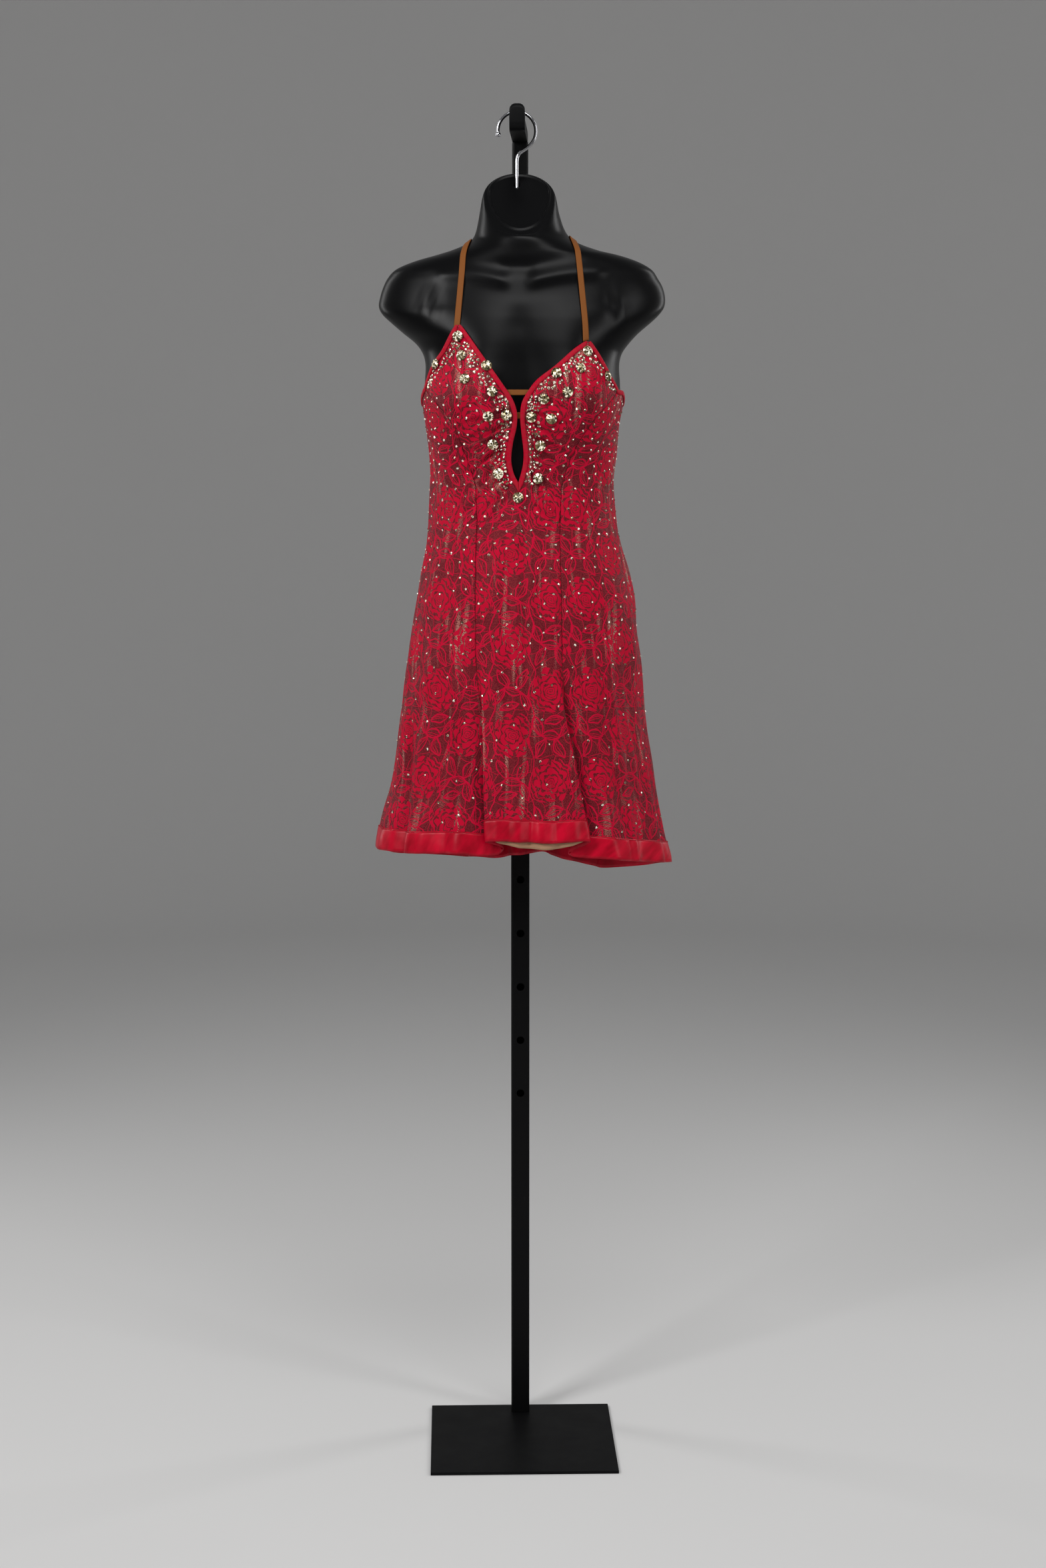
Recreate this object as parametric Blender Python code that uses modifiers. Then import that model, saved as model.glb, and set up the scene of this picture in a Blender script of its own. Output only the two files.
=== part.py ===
"""A salsa dance dress on a limbless hanging dress form and its telescoping stand.

Metres, +Z up. The origin is the middle of the base plate's underside, and the dress faces -Y.
Left and right are as seen from the front, so left is -X. The dress is cut as a centre front with
both cups, two side fronts and a back. Its skirt swings in folds from the waist to a satin hem.

A place on the cloth is a bearing and a height. The bearing turns about the Z axis from the front
(0) to the right (+90 degrees). Every piece that lies on the cloth is made from the same surface,
moved out along its normal.
"""

import math
from collections import namedtuple

import bmesh
import bpy
from mathutils import Matrix, Vector
from mathutils.bvhtree import BVHTree

# --- Driving sizes -------------------------------------------------------------------------------
GAP = 0.0003  # between pieces that touch
BAND_GAP = 0.0004  # between the satin bands and the cloth
SEAM = 0.0004  # between two panels, along a seam
CLOTH = 0.0014  # lace and lining together
TRIM = 0.0009  # satin ribbon and bindings
ELASTIC = 0.0010  # straps

CENTRE_X = -0.0075  # the dress's own centre line, where the keyhole closes
KEYHOLE_FOOT = 1.3250
SKIRT_TOP = 1.1500  # below this the rows of points fan out to the hem
HEM_LEVEL = 0.8400  # where the folds reach their full depth
HEM_BAND = 0.0290
BINDING_WIDTH = 0.0055
BINDING_TIP_SHARE = 0.38  # of the cup's width, where the cup narrows to its tip
STRAP_WIDTH = 0.0075
STONE_RADIUS = 0.0070
STONE_HEIGHT = 0.0044
STONE_GIRDLE = 0.0016
STONE_UNDERCUT = 0.0006  # how much narrower the flat back is
STONE_SIDES = 12
LINING_LEFT = math.radians(-15)
LINING_RIGHT = math.radians(29)
LINING_DROP = 0.0085
LINING_RISE = 0.0120
LINING_WALL = 0.0008

TUBE = 0.0254  # the outer tube is one inch square
TUBE_WALL = 0.0015
TUBE_TOP = 0.9144
INNER_TUBE = 0.0216
INNER_FOOT = 0.7860
TUBE_Y = 0.1079  # the tubes stand behind the skirt
TUBE_CORNER = 0.0025
HOLE_PITCH = 0.0762
HOLE_RADIUS = 0.0055
LOWEST_HOLE = 0.4712
HOLE_COUNT = 6
PLATE = 0.2540
PLATE_THICKNESS = 0.0040

ARM_WIDTH = 0.0203
ARM_UNDERSIDE = 1.7850
ARM_TOP = 1.8075
ARM_TIP_TOP = 1.8205
ARM_TIP_Y = -0.0180
ARM_TURN = math.radians(3.4)
PLUG_RADIUS = 0.0088
PLUG_DEPTH = 0.0350
HOOK_Y = 0.0120
HOOK_X = -0.0069
HOOK_LOOP_Z = 1.7880
HOOK_LOOP = 0.0250
HOOK_WIRE = 0.0022
HOOK_FOOT = 1.7000
HOOK_NECK_Z = 1.7470
HOOK_SHANK = 0.0200  # the straight length inside the form
HOOK_LEAN = math.radians(-38)  # where the shank's curve meets the loop
HOOK_END = math.radians(184)
HOOK_EASE = 0.0170
HOOK_MOUTH_RADIUS = 0.0044
HOOK_MOUTH_DEPTH = 0.0060

# --- Rows of points ------------------------------------------------------------------------------
FRONT_COLUMNS = 13  # in each half of the centre front
SIDE_COLUMNS = 14
BACK_COLUMNS = 28
FORM_COLUMNS = 32
TAB_COLUMNS = 8
STRAP_STEPS = 40
BAND_SHARE = 0.1
SKIRT_SHARES = (0.0, BAND_SHARE, 0.24, 0.38, 0.52, 0.66, 0.80, 0.92)
WAIST_HEIGHTS = (SKIRT_TOP, 1.190, 1.230, 1.265, 1.290, 1.308, KEYHOLE_FOOT)
CUP_STEPS = 8
ROWS_PER_GATHER = 3.0
SIDE_SHARES = (0.0, 0.12, 0.24, 0.36, 0.48, 0.60, 0.70, 0.79, 0.86, 0.92, 0.963, 1.0)
BACK_SHARES = tuple(step / 8 for step in range(9))
EVENING_RISE = 0.0900  # over this height above the skirt the points become evenly spaced
FLOOR_CROWDING = 1000  # how much closer points stand on a rounded floor

# --- Sections ------------------------------------------------------------------------------------
# Half widths to each side and depths to the front and back, from the Z axis. A fullness of 2 is
# an ellipse, and more is squarer.
Section = namedtuple("Section", "height left right front back fullness")

DRESS = (
    Section(0.790, 0.2070, 0.2040, 0.1600, 0.0860, 2.15),
    Section(0.850, 0.1970, 0.1920, 0.1530, 0.0870, 2.15),
    Section(0.883, 0.1890, 0.1860, 0.1480, 0.0870, 2.15),
    Section(0.920, 0.1780, 0.1790, 0.1420, 0.0870, 2.15),
    Section(0.956, 0.1725, 0.1740, 0.1370, 0.0870, 2.15),
    Section(1.000, 0.1670, 0.1665, 0.1310, 0.0870, 2.15),
    Section(1.046, 0.1605, 0.1610, 0.1250, 0.0870, 2.20),
    Section(1.100, 0.1530, 0.1580, 0.1190, 0.0868, 2.20),
    Section(1.135, 0.1470, 0.1545, 0.1150, 0.0860, 2.20),
    Section(1.171, 0.1415, 0.1515, 0.1110, 0.0845, 2.25),
    Section(1.207, 0.1365, 0.1430, 0.1065, 0.0815, 2.25),
    Section(1.242, 0.1295, 0.1325, 0.1010, 0.0770, 2.30),
    Section(1.278, 0.1250, 0.1255, 0.0965, 0.0735, 2.30),
    Section(1.330, 0.1225, 0.1220, 0.0935, 0.0705, 2.30),
    Section(1.366, 0.1245, 0.1260, 0.0965, 0.0720, 2.30),
    Section(1.401, 0.1285, 0.1285, 0.1000, 0.0755, 2.30),
    Section(1.436, 0.1330, 0.1340, 0.1030, 0.0785, 2.30),
    Section(1.470, 0.1325, 0.1330, 0.1010, 0.0800, 2.30),
    Section(1.489, 0.1325, 0.1330, 0.0982, 0.0812, 2.30),
    Section(1.506, 0.1410, 0.1410, 0.0956, 0.0816, 2.30),
    Section(1.524, 0.1595, 0.1595, 0.0918, 0.0806, 2.30),
    Section(1.541, 0.1805, 0.1805, 0.0878, 0.0786, 2.30),
)

TORSO = (
    Section(1.1000, 0.1310, 0.1310, 0.0950, 0.0740, 2.2),
    Section(1.1035, 0.1370, 0.1370, 0.1005, 0.0800, 2.2),
    Section(1.1120, 0.1395, 0.1395, 0.1025, 0.0825, 2.2),
    Section(1.1400, 0.1405, 0.1405, 0.1030, 0.0830, 2.2),
    Section(1.1710, 0.1385, 0.1385, 0.1020, 0.0815, 2.2),
    Section(1.2070, 0.1335, 0.1335, 0.0990, 0.0785, 2.2),
    Section(1.2420, 0.1260, 0.1260, 0.0950, 0.0735, 2.3),
    Section(1.2780, 0.1215, 0.1215, 0.0910, 0.0700, 2.3),
    Section(1.3300, 0.1195, 0.1195, 0.0885, 0.0675, 2.3),
    Section(1.3660, 0.1215, 0.1215, 0.0915, 0.0685, 2.3),
    Section(1.4010, 0.1260, 0.1260, 0.0950, 0.0715, 2.3),
    Section(1.4360, 0.1300, 0.1300, 0.0975, 0.0745, 2.3),
    Section(1.4600, 0.1295, 0.1295, 0.0965, 0.0760, 2.3),
    Section(1.4820, 0.1285, 0.1285, 0.0940, 0.0772, 2.3),
    Section(1.4970, 0.1320, 0.1320, 0.0925, 0.0780, 2.3),
    Section(1.5100, 0.1410, 0.1410, 0.0908, 0.0778, 2.3),
    Section(1.5240, 0.1580, 0.1540, 0.0880, 0.0770, 2.3),
    Section(1.5380, 0.1745, 0.1705, 0.0848, 0.0755, 2.2),
    Section(1.5480, 0.1850, 0.1810, 0.0820, 0.0740, 2.1),
    Section(1.5580, 0.1898, 0.1880, 0.0790, 0.0720, 2.0),
    Section(1.5700, 0.1883, 0.1895, 0.0750, 0.0685, 2.0),
    Section(1.5840, 0.1838, 0.1862, 0.0710, 0.0645, 2.0),
    Section(1.5960, 0.1775, 0.1795, 0.0680, 0.0595, 2.0),
    Section(1.6070, 0.1665, 0.1715, 0.0655, 0.0545, 2.0),
    Section(1.6170, 0.1430, 0.1540, 0.0635, 0.0495, 2.0),
    Section(1.6250, 0.1150, 0.1300, 0.0620, 0.0450, 2.0),
    Section(1.6310, 0.0950, 0.1030, 0.0612, 0.0415, 2.0),
    Section(1.6380, 0.0740, 0.0780, 0.0606, 0.0385, 2.0),
    Section(1.6450, 0.0620, 0.0620, 0.0600, 0.0360, 2.0),
)

# The neck's rings lean: a ring rises by its slope from front to back, about PIVOT_Y.
NeckRing = namedtuple("NeckRing", "height slope half front back")
PIVOT_Y = -0.0120
NECK_X = -0.0040
NECK = (
    NeckRing(1.6570, 0.20, 0.0560, 0.0575, 0.0355),
    NeckRing(1.6720, 0.55, 0.0525, 0.0555, 0.0345),
    NeckRing(1.6840, 0.88, 0.0497, 0.0540, 0.0320),
    NeckRing(1.6905, 1.04, 0.0468, 0.0520, 0.0300),
    NeckRing(1.6932, 1.10, 0.0432, 0.0490, 0.0268),
    NeckRing(1.6936, 1.10, 0.0390, 0.0450, 0.0232),
    NeckRing(1.6924, 1.10, 0.0382, 0.0442, 0.0224),
)

# The bust: one mound on each side, wide on the cloth and narrow on the form beneath.
BUST_BEARING = math.radians(34)
BUST_HEIGHT_Z = 1.4430
BUST_REACH_Z = 0.0430
Bust = namedtuple("Bust", "height spread")
DRESS_BUST = Bust(0.0200, math.radians(18))
TORSO_BUST = Bust(0.0180, math.radians(15))

# --- Edges and seams -----------------------------------------------------------------------------
# How far each line stands from the Z axis, to the right, at each height.
EdgePoint = namedtuple("EdgePoint", "height x")

NECK_EDGE_LEFT = (
    EdgePoint(1.3250, -0.0075),
    EdgePoint(1.3390, -0.0145),
    EdgePoint(1.3560, -0.0178),
    EdgePoint(1.3770, -0.0160),
    EdgePoint(1.3990, -0.0112),
    EdgePoint(1.4160, -0.0106),
    EdgePoint(1.4330, -0.0160),
    EdgePoint(1.4500, -0.0270),
    EdgePoint(1.4800, -0.0480),
    EdgePoint(1.5180, -0.0740),
    EdgePoint(1.5300, -0.0825),
)
NECK_EDGE_RIGHT = (
    EdgePoint(1.3250, -0.0075),
    EdgePoint(1.3480, -0.0014),
    EdgePoint(1.3650, -0.0002),
    EdgePoint(1.3900, -0.0030),
    EdgePoint(1.4120, -0.0050),
    EdgePoint(1.4290, -0.0030),
    EdgePoint(1.4410, 0.0030),
    EdgePoint(1.4580, 0.0160),
    EdgePoint(1.4750, 0.0380),
    EdgePoint(1.4970, 0.0630),
    EdgePoint(1.5090, 0.0800),
)
ARM_EDGE_LEFT = (
    EdgePoint(1.4500, -0.1292),
    EdgePoint(1.4640, -0.1250),
    EdgePoint(1.4820, -0.1170),
    EdgePoint(1.4990, -0.1050),
    EdgePoint(1.5300, -0.0880),
)
ARM_EDGE_RIGHT = (
    EdgePoint(1.4470, 0.1240),
    EdgePoint(1.4560, 0.1190),
    EdgePoint(1.4650, 0.1130),
    EdgePoint(1.4880, 0.1000),
    EdgePoint(1.5090, 0.0855),
)
SEAM_LEFT = (
    EdgePoint(0.8400, -0.0680),
    EdgePoint(0.9140, -0.0690),
    EdgePoint(1.0010, -0.0670),
    EdgePoint(1.0880, -0.0645),
    EdgePoint(1.2000, -0.0640),
    EdgePoint(1.3210, -0.0640),
    EdgePoint(1.3430, -0.0700),
    EdgePoint(1.3780, -0.0830),
    EdgePoint(1.3990, -0.0920),
    EdgePoint(1.4270, -0.1120),
    EdgePoint(1.4500, -0.1292),
    EdgePoint(1.4530, -0.1310),
)
SEAM_RIGHT = (
    EdgePoint(0.8400, 0.1060),
    EdgePoint(0.9140, 0.0915),
    EdgePoint(0.9650, 0.0800),
    EdgePoint(1.0010, 0.0715),
    EdgePoint(1.0520, 0.0590),
    EdgePoint(1.0880, 0.0505),
    EdgePoint(1.2000, 0.0480),
    EdgePoint(1.3160, 0.0490),
    EdgePoint(1.3430, 0.0560),
    EdgePoint(1.3780, 0.0710),
    EdgePoint(1.3990, 0.0850),
    EdgePoint(1.4160, 0.0980),
    EdgePoint(1.4470, 0.1240),
    EdgePoint(1.4510, 0.1268),
)

# How high the hem hangs and the bodice reaches, all round.
RoundPoint = namedtuple("RoundPoint", "bearing height")
HEM = (
    RoundPoint(-180, 0.815),
    RoundPoint(-155, 0.811),
    RoundPoint(-135, 0.812),
    RoundPoint(-115, 0.818),
    RoundPoint(-102, 0.824),
    RoundPoint(-90, 0.838),
    RoundPoint(-72, 0.841),
    RoundPoint(-60, 0.842),
    RoundPoint(-45, 0.845),
    RoundPoint(-31, 0.847),
    RoundPoint(-26.5, 0.844),
    RoundPoint(-21.5, 0.862),
    RoundPoint(0, 0.863),
    RoundPoint(15, 0.861),
    RoundPoint(33, 0.861),
    RoundPoint(38, 0.844),
    RoundPoint(43, 0.837),
    RoundPoint(60, 0.829),
    RoundPoint(80, 0.819),
    RoundPoint(95, 0.812),
    RoundPoint(115, 0.798),
    RoundPoint(130, 0.801),
    RoundPoint(145, 0.813),
    RoundPoint(160, 0.818),
    RoundPoint(180, 0.815),
)
BODICE_TOP = (
    RoundPoint(-180, 1.424),
    RoundPoint(-140, 1.428),
    RoundPoint(-110, 1.432),
    RoundPoint(-90, 1.4345),
    RoundPoint(-82, 1.4430),
    RoundPoint(-74, 1.4500),
    RoundPoint(74, 1.4470),
    RoundPoint(82, 1.4410),
    RoundPoint(90, 1.4335),
    RoundPoint(110, 1.432),
    RoundPoint(140, 1.428),
    RoundPoint(180, 1.424),
)

# A fold is a trough that starts at a height and deepens to the hem. Its lean carries the floor
# sideways, to the right when positive, behind the lobe that stands in front of it. Its swell
# rounds the floor.
NARROW_START = 0.6  # a fold's width where it starts, as a share of its width at the hem
Fold = namedtuple("Fold", "bearing_top bearing_hem start depth half_width lean swell")
LEFT_VALLEY = Fold(None, None, 1.120, 0.040, 0.0080, 46, 0.0065)
RIGHT_VALLEY = Fold(None, None, 1.130, 0.046, 0.0085, -46, 0.0065)
FOLDS = (
    Fold(-70, -63, 1.060, 0.026, 0.0080, 38, 0.0050),
    Fold(-47, -43, 1.180, 0.005, 0.0170, 0, 0.0),
    Fold(-4, 2, 1.140, 0.004, 0.0140, 0, 0.0),
    Fold(16, 19, 1.120, 0.003, 0.0110, 0, 0.0),
    Fold(55, 60, 1.160, 0.006, 0.0160, 0, 0.0),
    Fold(77, 80, 1.100, 0.006, 0.0130, 0, 0.0),
    Fold(-98, -100, 1.080, 0.008, 0.0150, 0, 0.0),
    Fold(-124, -126, 1.160, 0.018, 0.0170, -10, 0.0),
    Fold(-157, -156, 1.140, 0.016, 0.0160, 8, 0.0),
    Fold(174, 174, 1.150, 0.017, 0.0160, 0, 0.0),
    Fold(143, 145, 1.160, 0.018, 0.0170, -8, 0.0),
    Fold(111, 115, 1.130, 0.015, 0.0160, 10, 0.0),
)

# Gathers: ridges that fan out from the keyhole's bound edge and fade across the bust.
GATHER_DEPTH = 0.0017
GATHER_PITCH = 0.0140
GATHER_FOOT = 1.3300
GATHER_TOP = 1.4360
GATHER_REACH = 0.0420
GATHER_DROP_TOP = 0.20  # how steeply the top one runs down
GATHER_DROP_FOOT = 1.10

# Large stones. One that sits over a binding stands that much higher.
Stone = namedtuple("Stone", "x height over_binding")
STONES = (
    Stone(-0.0850, 1.5150, True),
    Stone(-0.0810, 1.4900, False),
    Stone(-0.1130, 1.4800, True),
    Stone(-0.0490, 1.4760, True),
    Stone(-0.0770, 1.4600, False),
    Stone(-0.0420, 1.4440, False),
    Stone(-0.0470, 1.4130, False),
    Stone(-0.0238, 1.4140, False),
    Stone(-0.0410, 1.3780, False),
    Stone(-0.0320, 1.3390, False),
    Stone(-0.0080, 1.3080, False),
    Stone(0.0815, 1.4960, False),
    Stone(0.0720, 1.4740, False),
    Stone(0.0410, 1.4670, True),
    Stone(0.1070, 1.4640, True),
    Stone(0.0550, 1.4430, False),
    Stone(0.0250, 1.4350, False),
    Stone(0.0085, 1.4110, False),
    Stone(0.0340, 1.4080, False),
    Stone(0.0200, 1.3750, False),
    Stone(0.0170, 1.3330, False),
)

# A strap's route over the shoulder. The angle turns about the line Y = 0, Z = STRAP_AXIS_Z, from
# the front (0) over the top (90) to the back (180).
StrapPoint = namedtuple("StrapPoint", "angle left right")
STRAP_AXIS_Z = 1.5600
STRAP_LIFT = 0.0012  # the gap, and what a flat piece of strap needs to clear a bend
STRAP = (
    StrapPoint(-31, -0.0880, 0.0800),
    StrapPoint(-19, -0.0865, 0.0792),
    StrapPoint(0, -0.0838, 0.0768),
    StrapPoint(34, -0.0800, 0.0730),
    StrapPoint(50, -0.0785, 0.0712),
    StrapPoint(66, -0.0750, 0.0680),
    StrapPoint(83, -0.0715, 0.0660),
    StrapPoint(110, -0.0690, 0.0650),
    StrapPoint(141, -0.0660, 0.0630),
    StrapPoint(188, -0.0620, 0.0610),
    StrapPoint(243, -0.0600, 0.0600),
)

# --- Materials -----------------------------------------------------------------------------------
Finish = namedtuple("Finish", "color roughness metallic")
FINISHES = {
    "lace": Finish((0.55, 0.015, 0.06), 0.75, 0.0),
    "satin": Finish((0.62, 0.008, 0.045), 0.38, 0.0),
    "lining": Finish((0.45, 0.27, 0.15), 0.80, 0.0),
    "elastic": Finish((0.50, 0.22, 0.08), 0.70, 0.0),
    "stone": Finish((0.80, 0.68, 0.42), 0.08, 0.6),
    "form": Finish((0.012, 0.012, 0.013), 0.42, 0.0),
    "chrome": Finish((0.80, 0.80, 0.82), 0.10, 1.0),
    "stand": Finish((0.010, 0.010, 0.011), 0.38, 0.0),
}


def smooth_step(value):
    value = min(max(value, 0.0), 1.0)
    return value * value * (3 - 2 * value)


def middle_of(first, second, share):
    return first + (second - first) * share


def smooth_rows(rows, at):
    """Every column of a table, read at a place between two rows with a smooth slope."""
    keys = [row[0] for row in rows]
    if at <= keys[0]:
        return rows[0][1:]
    if at >= keys[-1]:
        return rows[-1][1:]
    upper = next(index for index, key in enumerate(keys) if key >= at)
    lower = upper - 1
    span = keys[upper] - keys[lower]
    t = (at - keys[lower]) / span
    values = []
    for column in range(1, len(rows[0])):
        slopes = []
        for index in (lower, upper):
            before, after = max(index - 1, 0), min(index + 1, len(rows) - 1)
            rise = rows[after][column] - rows[before][column]
            slopes.append(rise / (keys[after] - keys[before]))
        start, end = rows[lower][column], rows[upper][column]
        values.append(
            start * (2 * t**3 - 3 * t**2 + 1)
            + end * (3 * t**2 - 2 * t**3)
            + span * slopes[0] * (t**3 - 2 * t**2 + t)
            + span * slopes[1] * (t**3 - t**2)
        )
    return values


# --- The two surfaces: the form and the cloth ----------------------------------------------------
def section_radius(sections, bearing, height):
    left, right, front, back, fullness = smooth_rows(sections, height)
    side = right if math.sin(bearing) > 0 else left
    depth = front if math.cos(bearing) > 0 else back
    across = (abs(math.sin(bearing)) / side) ** fullness
    along = (abs(math.cos(bearing)) / depth) ** fullness
    return (across + along) ** (-1 / fullness)


def bust_swell(bust, bearing, height):
    rise = math.exp(-(((height - BUST_HEIGHT_Z) / BUST_REACH_Z) ** 2) / 2)
    swell = 0.0
    for side in (-1, 1):
        off = (bearing - side * BUST_BEARING) / bust.spread
        swell += bust.height * rise * math.exp(-(off**2) / 2)
    return swell


def torso_radius(bearing, height):
    return section_radius(TORSO, bearing, height) + bust_swell(TORSO_BUST, bearing, height)


def smooth_dress_radius(bearing, height):
    return section_radius(DRESS, bearing, height) + bust_swell(DRESS_BUST, bearing, height)


def bearing_of(x, height):
    """The bearing, on the front half, at which the cloth lies that far to the right."""
    low, high = -math.pi / 2, math.pi / 2
    for _ in range(40):
        middle = (low + high) / 2
        if smooth_dress_radius(middle, height) * math.sin(middle) < x:
            low = middle
        else:
            high = middle
    return (low + high) / 2


def bearings_along(edge):
    return [(point.height, bearing_of(point.x, point.height)) for point in edge]


SEAM_LEFT_BEARINGS = bearings_along(SEAM_LEFT)
SEAM_RIGHT_BEARINGS = bearings_along(SEAM_RIGHT)
ARM_LEFT_BEARINGS = bearings_along(ARM_EDGE_LEFT)
ARM_RIGHT_BEARINGS = bearings_along(ARM_EDGE_RIGHT)
NECK_LEFT_BEARINGS = bearings_along(NECK_EDGE_LEFT)
NECK_RIGHT_BEARINGS = bearings_along(NECK_EDGE_RIGHT)


def line_bearing(line, height):
    return smooth_rows(line, height)[0]


def turn_between(bearing, other):
    """The smaller turn from one bearing to the other, with its sign."""
    return (bearing - other + math.pi) % (2 * math.pi) - math.pi


def hem_height(bearing):
    return smooth_rows(HEM, math.degrees(turn_between(bearing, 0)))[0]


def bodice_top(bearing):
    return smooth_rows(BODICE_TOP, math.degrees(turn_between(bearing, 0)))[0]


FoldPlace = namedtuple("FoldPlace", "bearing depth half_width lean swell")


def fold_places(height):
    """The folds as they stand at this height."""
    valleys = ((LEFT_VALLEY, SEAM_LEFT_BEARINGS), (RIGHT_VALLEY, SEAM_RIGHT_BEARINGS))
    lines = [(fold, line_bearing(seam, height)) for fold, seam in valleys]
    for fold in FOLDS:
        fall = (fold.start - height) / (fold.start - HEM_LEVEL)
        lines.append((fold, math.radians(middle_of(fold.bearing_top, fold.bearing_hem, fall))))
    places = []
    for fold, bearing in lines:
        fall = (fold.start - height) / (fold.start - HEM_LEVEL)
        if fall > 0:
            growth = fall * smooth_step(2.5 * fall)
            half_width = fold.half_width * middle_of(NARROW_START, 1.0, min(fall, 1.0))
            sizes = (fold.depth * growth, half_width, math.radians(fold.lean))
            places.append(FoldPlace(bearing, *sizes, fold.swell * growth))
    return places


def gather_swell(x, height):
    """The ridges that fan out from the keyhole's edge on each side."""
    if not GATHER_FOOT - 0.06 < height < GATHER_TOP + 0.02:
        return 0.0
    edge_height = max(height, KEYHOLE_FOOT)
    if x < CENTRE_X:
        out = smooth_rows(NECK_EDGE_LEFT, edge_height)[0] - x
    else:
        out = x - smooth_rows(NECK_EDGE_RIGHT, edge_height)[0]
    if out <= 0:
        return 0.0
    fan = (GATHER_DROP_FOOT - GATHER_DROP_TOP) / (GATHER_TOP - GATHER_FOOT)
    root = (height + (GATHER_DROP_TOP + fan * GATHER_TOP) * out) / (1 + fan * out)
    inside = smooth_step((root - GATHER_FOOT + 0.010) / 0.010)
    inside *= smooth_step((GATHER_TOP + 0.010 - root) / 0.010)
    rise = smooth_step((out - 1.5 * BINDING_WIDTH) / 0.010)
    fade = math.exp(-((out / GATHER_REACH) ** 2))
    wave = math.cos(2 * math.pi * (root - GATHER_FOOT) / GATHER_PITCH)
    return GATHER_DEPTH * inside * rise * fade * wave


def cloth_point(bearing, height):
    """The outer face of the cloth."""
    radius = smooth_dress_radius(bearing, height)
    out = Vector((math.sin(bearing), -math.cos(bearing), 0))
    along = Vector((math.cos(bearing), math.sin(bearing), 0))
    if math.cos(bearing) > 0:
        radius += gather_swell(radius * math.sin(bearing), height)
    place = out * radius
    for fold in fold_places(height):
        offset = turn_between(bearing, fold.bearing) * radius / fold.half_width
        sink = fold.depth / (1 + offset**4)
        open_up = fold.swell * offset * math.exp(-(offset**2) / 0.7)
        sine, cosine = math.sin(fold.lean), math.cos(fold.lean)
        place += out * (open_up * sine - sink * cosine)
        place += along * (open_up * cosine + sink * sine)
    place.z = height
    return place


def cloth_lifted(bearing, height, lift):
    """A point off the cloth's outer face, along its normal. A negative lift is inside it."""
    place = cloth_point(bearing, height)
    if lift == 0:
        return place
    turn, climb = 0.002, 0.0005
    across = cloth_point(bearing + turn, height) - cloth_point(bearing - turn, height)
    up = cloth_point(bearing, height + climb) - cloth_point(bearing, height - climb)
    return place + across.cross(up).normalized() * lift


# --- Building ------------------------------------------------------------------------------------
def clear_scene():
    for item in list(bpy.data.objects):
        bpy.data.objects.remove(item)


def new_collection(name):
    collection = bpy.data.collections.new(name)
    bpy.context.scene.collection.children.link(collection)
    return collection


def make_materials():
    materials = {}
    for name, finish in FINISHES.items():
        material = bpy.data.materials.new(name)
        material.use_nodes = True
        shader = material.node_tree.nodes["Principled BSDF"]
        shader.inputs["Base Color"].default_value = (*finish.color, 1)
        shader.inputs["Roughness"].default_value = finish.roughness
        shader.inputs["Metallic"].default_value = finish.metallic
        material.diffuse_color = (*finish.color, 1)
        materials[name] = material
    return materials


def add_object(name, data, material):
    item = bpy.data.objects.new(name, data)
    PARTS.objects.link(item)
    data.materials.clear()
    data.materials.append(MATERIALS[material])
    return item


def mesh_from(name, mesh_builder):
    mesh = bpy.data.meshes.new(name)
    mesh_builder.to_mesh(mesh)
    mesh_builder.free()
    return mesh


def add_grid(builder, rows):
    """Faces between neighbouring rows of vertices, seen from outside with each row running right."""
    for low, high in zip(rows, rows[1:]):
        for index in range(len(low) - 1):
            builder.faces.new((low[index], low[index + 1], high[index + 1], high[index]))


def shell(name, grids, outer, inner, material):
    """A wall between two lifts off the cloth, on grids of bearings and heights.

    The grids are sewn where their points meet, and the rims follow the cloth's own normal.
    """
    builder = bmesh.new()
    inside = builder.verts.layers.float_vector.new("inside")
    for rows in grids:
        lines = []
        for row in rows:
            line = []
            for bearing, height in row:
                vert = builder.verts.new(cloth_lifted(bearing, height, outer))
                vert[inside] = cloth_lifted(bearing, height, inner)
                line.append(vert)
            lines.append(line)
        add_grid(builder, lines)
    bmesh.ops.remove_doubles(builder, verts=builder.verts, dist=0.00002)
    faces = list(builder.faces)
    rims = [edge.link_loops[0] for edge in builder.edges if edge.is_boundary]
    rims = [(loop.vert, loop.link_loop_next.vert) for loop in rims]
    twins = {vert: builder.verts.new(vert[inside]) for vert in list(builder.verts)}
    for face in faces:
        first, second, third, fourth = (twins[vert] for vert in face.verts)
        builder.faces.new((first, fourth, third, second))
    for first, second in rims:
        builder.faces.new((second, first, twins[first], twins[second]))
    bmesh.ops.triangulate(builder, faces=builder.faces, quad_method="FIXED")
    return add_object(name, mesh_from(name, builder), material)


def spread(start, end, height, count):
    """Bearings from start to end, closer together where the cloth is folded."""
    samples = 240
    places = fold_places(height)
    radius = smooth_dress_radius((start + end) / 2, height)
    weights = []
    for index in range(samples + 1):
        bearing = start + (end - start) * index / samples
        weight = 1.0
        for fold in places:
            offset = turn_between(bearing, fold.bearing) * radius / fold.half_width
            weight += fold.depth / fold.half_width / (1 + (offset / 1.7) ** 6)
            weight += FLOOR_CROWDING * fold.swell / (1 + (offset / 0.5) ** 4)
        weights.append(weight)
    totals = [0.0]
    for first, second in zip(weights, weights[1:]):
        totals.append(totals[-1] + (first + second) / 2)
    bearings = []
    index = 0
    for step in range(count + 1):
        target = totals[-1] * step / count
        while index < samples - 1 and totals[index + 1] < target:
            index += 1
        part = (target - totals[index]) / (totals[index + 1] - totals[index])
        bearings.append(start + (end - start) * (index + part) / samples)
    return bearings


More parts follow.
